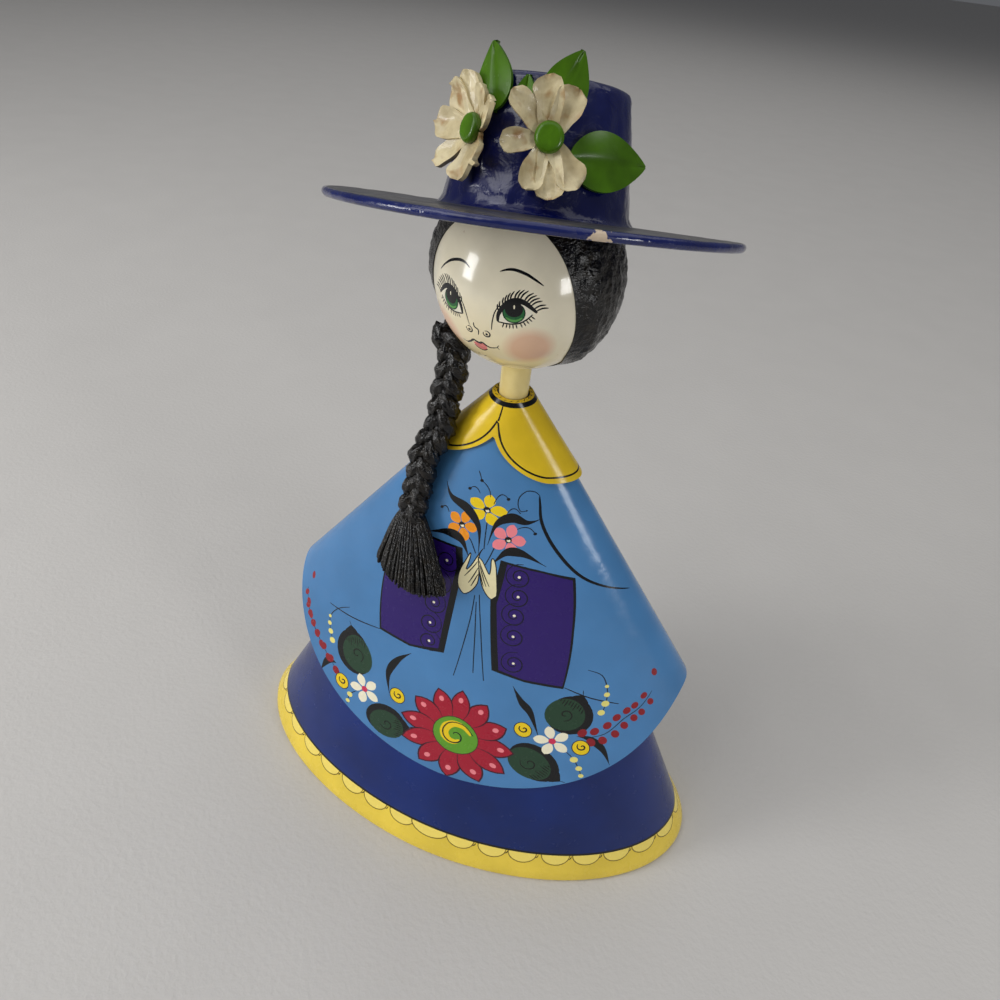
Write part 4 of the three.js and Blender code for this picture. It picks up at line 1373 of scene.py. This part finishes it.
class FigureSizes(bpy.types.PropertyGroup):
    """Sizes of the figure's painted and raised detail."""
    scallop_spacing: length_setting(
        "Scallop spacing", "Middle to middle of the hem's scallops", 15.5, 40)
    scallop_drop: length_setting(
        "Scallop drop", "How far a scallop hangs below the black line", 5.4, 10)
    collar_line: length_setting("Collar line", "Width of the black line on the collar", 0.7, 3)
    petal_thickness: length_setting(
        "Petal thickness", "Thickness of the hat flowers' petals", 1.4, 2)
    hat_wrinkle: length_setting("Hat wrinkle", "Depth of the dents in the crown", 0.8, 2)
    brush_tufts: IntProperty(
        name="Brush tufts", description="Tufts in the loose end of the plait", min=10, max=300,
        default=240)


def colours():
    return bpy.context.scene.figure_colours


def sizes():
    return bpy.context.scene.figure_sizes


def darker(colour, part):
    return tuple(part * c for c in colour)


# Operators, one for each piece
class FIGURE_OT_skirt(bpy.types.Operator):
    """Build the lacquered skirt with its scalloped yellow hem"""
    bl_idname = "figure.skirt"
    bl_label = "Skirt"

    def execute(self, context):
        edge = [(turn, 0.0) for turn in range(-180, 181, 2)] + [
            (turn, SKIRT_TOP_HEIGHT) for turn in range(180, -181, -4)]
        art = Painting(skirt_point, edge, "skirt")
        paint_skirt(art, sizes().scallop_spacing / MM, sizes().scallop_drop / MM)
        slots = ["skirt", "hem", "hem_light", "hem_line", "black"]
        inside = chart_grid(-180, 180, 2, 0.6, BAND_HEIGHT, 2.4) + chart_grid(
            -180, 180, 3, BAND_HEIGHT, 204, 5)
        bm = painted_mesh(art, inside, slots)
        bmesh.ops.holes_fill(bm, edges=[e for e in bm.edges if e.is_boundary], sides=0)
        bmesh.ops.recalc_face_normals(bm, faces=bm.faces[:])
        c = colours()
        materials = [
            lacquer("Dark blue lacquer", c.skirt, darker(c.skirt, 0.6), 45, 0.22),
            lacquer("Yellow lacquer, hem", c.hem, darker(c.hem, 0.82), 30, 0.26),
            brush_paint("Brush paint, hem scallops", linear("#f4dc6c")),
            brush_paint("Brush paint, hem line", linear("#6e5a1e")), *brush_paints(["black"])]
        finish_piece(bm, "painted_skirt", materials, ["skirt"])
        return {"FINISHED"}


class FIGURE_OT_cape(bpy.types.Operator):
    """Build the cape with its painted hands, sleeves and flowers"""
    bl_idname = "figure.cape"
    bl_label = "Cape"

    def execute(self, context):
        edge = [(turn, cape_edge(turn)) for turn in range(-180, 181, 2)]
        edge += [(turn, CAPE_TOP_HEIGHT) for turn in range(180, -181, -10)]
        art = Painting(cape_point, edge, "cape")
        paint_cape_front(art)
        paint_cape_back(art)
        slots = ["cape", *PAINT_COLOURS, "inside"]
        bm = painted_mesh(art, chart_grid(-180, 180, 2, 50, CAPE_TOP_HEIGHT, 3), slots)
        thicken(bm, CAPE_WALL, slots.index("inside"))
        c = colours()
        materials = [
            lacquer("Light blue lacquer", c.cape, darker(c.cape, 0.8), 40, 0.2, 5, 0.12),
            *brush_paints(PAINT_COLOURS),
            # The inside is the cape's own blue darkened: painted shade under the cape.
            lacquer("Light blue paint, inside in painted shade", darker(c.cape, 0.7), darker(c.cape, 0.5), 30, 0.5)]
        finish_piece(bm, "painted_cape", materials, ["cape"])
        return {"FINISHED"}


class FIGURE_OT_collar(bpy.types.Operator):
    """Build the two-lobed collar"""
    bl_idname = "figure.collar"
    bl_label = "Collar"

    def execute(self, context):
        top = COLLAR_TOP + 3.4
        edge = [(turn, collar_edge(turn)) for turn in range(-180, 181, 3)]
        edge += [(turn, top) for turn in range(180, -181, -10)]
        art = Painting(collar_point, edge, "collar")
        paint_collar(art, sizes().collar_line / MM)
        slots = ["collar", "black", "inside"]
        bm = painted_mesh(art, chart_grid(-180, 180, 5, COLLAR_HEIGHT, top, 1.6), slots, merge=0.02)
        thicken(bm, COLLAR_WALL, slots.index("inside"))
        c = colours()
        materials = [
            lacquer("Yellow lacquer, collar", c.collar, darker(c.collar, 0.8), 18, 0.2),
            # The inside is the collar's own yellow darkened: painted shade under the collar.
            *brush_paints(["black"]), brush_paint("Yellow paint, inside in painted shade", darker(c.collar, 0.6))]
        finish_piece(bm, "painted_collar", materials, ["collar"])
        return {"FINISHED"}


class FIGURE_OT_head(bpy.types.Operator):
    """Build the head with its painted face, and the neck"""
    bl_idname = "figure.head"
    bl_label = "Head and neck"

    def execute(self, context):
        reach = math.pi * HEAD_RADIUS * 0.985
        domain = [
            (reach * math.cos(math.radians(a)), reach * math.sin(math.radians(a)))
            for a in range(0, 360, 4)]
        art = Painting(head_point, domain, "hair")
        art.area("skin", [face_place(d) for d in hairline_directions()])
        paint_face(art)
        slots = [
            "hair", "skin", "black", "white", "eye_white", "iris", "iris_dark", "iris_light", "lip"]
        bm = painted_mesh(art, chart_grid(-90, 90, 2, -90, 90, 2), slots)
        bmesh.ops.holes_fill(bm, edges=[e for e in bm.edges if e.is_boundary], sides=0)
        bmesh.ops.recalc_face_normals(bm, faces=bm.faces[:])
        c = colours()
        skin = skin_paint("Cream lacquer, face", c.skin, darker(c.skin, 0.86))
        materials = [
            brush_paint("Black lacquer", c.hair, 0.16), skin, *brush_paints(["black", "white"]),
            brush_paint("Brush paint, eye white", linear("#ece7d2")),
            brush_paint("Brush paint, iris", linear("#1f5f33")),
            brush_paint("Brush paint, iris edge", linear("#0f2a1c")),
            brush_paint("Brush paint, iris glow", linear("#55994a")),
            brush_paint("Brush paint, lip", linear("#e08378"))]
        finish_piece(bm, "painted_head", materials, ["head"])
        bm = bmesh.new()
        middle = Vector((*NECK_LEAN, 0))
        path = [
            middle + Vector((0, 0, z))
            for z in (SKIRT_TOP_HEIGHT + 0.3, 220, 232, 236, 240, 244, NECK_TOP)]
        sweep(bm, path, lambda t: NECK_RADIUS, 48)
        bmesh.ops.recalc_face_normals(bm, faces=bm.faces[:])
        finish_piece(
            bm, "neck_skin",
            [lacquer("Cream lacquer, neck", linear("#eedb98"), linear("#dcc47c"), 12)], ["neck"])
        return {"FINISHED"}


class FIGURE_OT_hair(bpy.types.Operator):
    """Build the combed and lacquered hair"""
    bl_idname = "figure.hair"
    bl_label = "Hair"

    def execute(self, context):
        edge = [back_place(d) for d in hairline_directions()]
        outline = [Vector(p) for p in edge]

        def hair_point(u, v):
            return back_point(u, v, hair_radius(outline, (u, v)))

        art = Painting(hair_point, edge, "hair")
        bm = painted_mesh(art, chart_grid(-75, 75, 0.75, -75, 75, 0.75), ["hair"])
        thicken(bm, 0.5, 0)
        finish_piece(
            bm, "combed_hair", [fibre_lacquer("Black fibre, lacquered", colours().hair)], ["hair"],
            80)
        return {"FINISHED"}


class FIGURE_OT_plait(bpy.types.Operator):
    """Build the plait and its loose end"""
    bl_idname = "figure.plait"
    bl_label = "Plait"

    def execute(self, context):
        bm = bmesh.new()
        build_strands(bm)
        build_brush(bm, sizes().brush_tufts)
        bmesh.ops.recalc_face_normals(bm, faces=bm.faces[:])
        finish_piece(
            bm, "plait_fibre", [fibre_lacquer("Black fibre, plaited", colours().hair)], ["braid"],
            80)
        return {"FINISHED"}


class FIGURE_OT_hat(bpy.types.Operator):
    """Build the flat-topped hat"""
    bl_idname = "figure.hat"
    bl_label = "Hat"

    def execute(self, context):
        bm = bmesh.new()
        build_hat(bm, 180, sizes().hat_wrinkle / MM)
        c = colours()
        materials = [hat_lacquer("Dark blue lacquer, wrinkled", c.hat, linear("#1b2257")),
                     hat_lacquer("Dark blue lacquer, dusty", c.hat_dust, linear("#4a4641"), 0.25),
                     hat_lacquer("Dark blue lacquer, rim", c.hat_rim, linear("#11184a"))]
        finish_piece(bm, "lacquered_hat", materials, ["hat"])
        return {"FINISHED"}


class FIGURE_OT_hat_flowers(bpy.types.Operator):
    """Build the two cream flowers and the five leaves on the hat"""
    bl_idname = "figure.hat_flowers"
    bl_label = "Hat flowers and leaves"

    def execute(self, context):
        c = colours()
        leaf = lacquer("Green lacquer, leaves", c.leaf, darker(c.leaf, 0.6), 9, 0.22)
        petals = petal_paper("Cream paper petals", c.petal, linear("#9a6a2a"))
        for name, spec in FLOWERS.items():
            bm = bmesh.new()
            build_flower(bm, spec, sizes().petal_thickness / MM)
            finish_piece(bm, f"{name}_petals", [petals, leaf], [name], 60)
        for name, spec in LEAVES.items():
            bm = bmesh.new()
            build_leaf(bm, *spec)
            finish_piece(bm, f"{name}_card", [leaf], [name], 50)
        return {"FINISHED"}


CAMERA_PLACE = (54.6, -208.4, 356.5)
CAMERA_TURN, CAMERA_DOWN, CAMERA_ROLL, CAMERA_LENS = 15.2, 39.36, 7.5, 24.98
ROOM_COLOUR, ROOM_STRENGTH = (0.9, 0.93, 1, 1), 0.12
LIT_HEIGHT = 0.16                # metres up, where the windows and sky are turned to
LIGHTS = (                       # name, place and size in metres, power in watts
    ("Window", (-1.26, -0.82, 0.48), (0.4, 0.66), 11),
    ("Ceiling", (0, 0.8, 3), (5, 5), 62),
    ("Side window", (1.34, -0.65, 0.48), (0.32, 0.42), 5.5),
    ("Sky", (-0.9, -0.9, 1.5), (1.2, 1.0), 10),
)


class FIGURE_OT_stage(bpy.types.Operator):
    """Set up the floor, the soft light and the camera"""
    bl_idname = "figure.stage"
    bl_label = "Stage"

    def execute(self, context):
        bm = bmesh.new()
        bmesh.ops.create_grid(bm, x_segments=2, y_segments=2, size=30)
        mesh = bpy.data.meshes.new("floor")
        bm.to_mesh(mesh)
        bm.free()
        mesh.materials.append(floor_cloth("Pale ground", tuple(colours().floor)))
        floor = bpy.data.objects.new("floor", mesh)
        scene = context.scene
        scene.collection.objects.link(floor)
        world = bpy.data.worlds.new("Soft room light")
        world.use_nodes = True
        background = world.node_tree.nodes["Background"]
        background.inputs["Color"].default_value = ROOM_COLOUR
        background.inputs["Strength"].default_value = ROOM_STRENGTH
        scene.world = world
        middle = Vector((0, 0, LIT_HEIGHT))
        for name, place, size, power in LIGHTS:
            light = bpy.data.lights.new(name, "AREA")
            light.shape, light.energy = "RECTANGLE", power
            light.size, light.size_y = size
            lamp = bpy.data.objects.new(name, light)
            lamp.location = place
            if name != "Ceiling":
                lamp.rotation_euler = (middle - Vector(place)).to_track_quat("-Z", "Y").to_euler()
            scene.collection.objects.link(lamp)
        camera = bpy.data.objects.new("Camera", bpy.data.cameras.new("Camera"))
        camera.data.lens, camera.data.sensor_width = CAMERA_LENS, 36
        camera.data.clip_start = 0.01
        a, e = math.radians(CAMERA_TURN), math.radians(CAMERA_DOWN)
        back = Vector((math.sin(a) * math.cos(e), -math.cos(a) * math.cos(e), math.sin(e)))
        right = Vector((math.cos(a), math.sin(a), 0))
        level = Matrix((right, back.cross(right), back)).transposed().to_4x4()
        roll = Matrix.Rotation(math.radians(CAMERA_ROLL), 4, "Z")
        camera.matrix_world = Matrix.Translation(Vector(CAMERA_PLACE) * MM) @ level @ roll
        scene.collection.objects.link(camera)
        scene.camera = camera
        scene.view_settings.view_transform = "Standard"
        return {"FINISHED"}


OPERATORS = (
    FIGURE_OT_skirt, FIGURE_OT_cape, FIGURE_OT_collar, FIGURE_OT_head, FIGURE_OT_hair,
    FIGURE_OT_plait, FIGURE_OT_hat, FIGURE_OT_hat_flowers, FIGURE_OT_stage)


class FIGURE_PT_pieces(bpy.types.Panel):
    """Lists the pieces, the sizes and the colours"""
    bl_label = "Papier-mache figure"
    bl_idname = "FIGURE_PT_pieces"
    bl_space_type = "VIEW_3D"
    bl_region_type = "UI"
    bl_category = "Figure"

    def draw(self, context):
        for group in (context.scene.figure_sizes, context.scene.figure_colours):
            for name in group.__annotations__:
                self.layout.prop(group, name)
        for operator in OPERATORS:
            self.layout.operator(operator.bl_idname)


CLASSES = (FigureColours, FigureSizes, *OPERATORS, FIGURE_PT_pieces)


def register():
    for cls in CLASSES:
        bpy.utils.register_class(cls)
    bpy.types.Scene.figure_colours = PointerProperty(type=FigureColours)
    bpy.types.Scene.figure_sizes = PointerProperty(type=FigureSizes)


def unregister():
    del bpy.types.Scene.figure_sizes
    del bpy.types.Scene.figure_colours
    for cls in reversed(CLASSES):
        bpy.utils.unregister_class(cls)


def main():
    register()
    bpy.ops.figure.skirt()
    bpy.ops.figure.cape()
    bpy.ops.figure.collar()
    bpy.ops.figure.head()
    bpy.ops.figure.hair()
    bpy.ops.figure.plait()
    bpy.ops.figure.hat()
    bpy.ops.figure.hat_flowers()
    bpy.ops.figure.stage()
    bpy.context.view_layer.update()


if __name__ == "__main__":
    main()
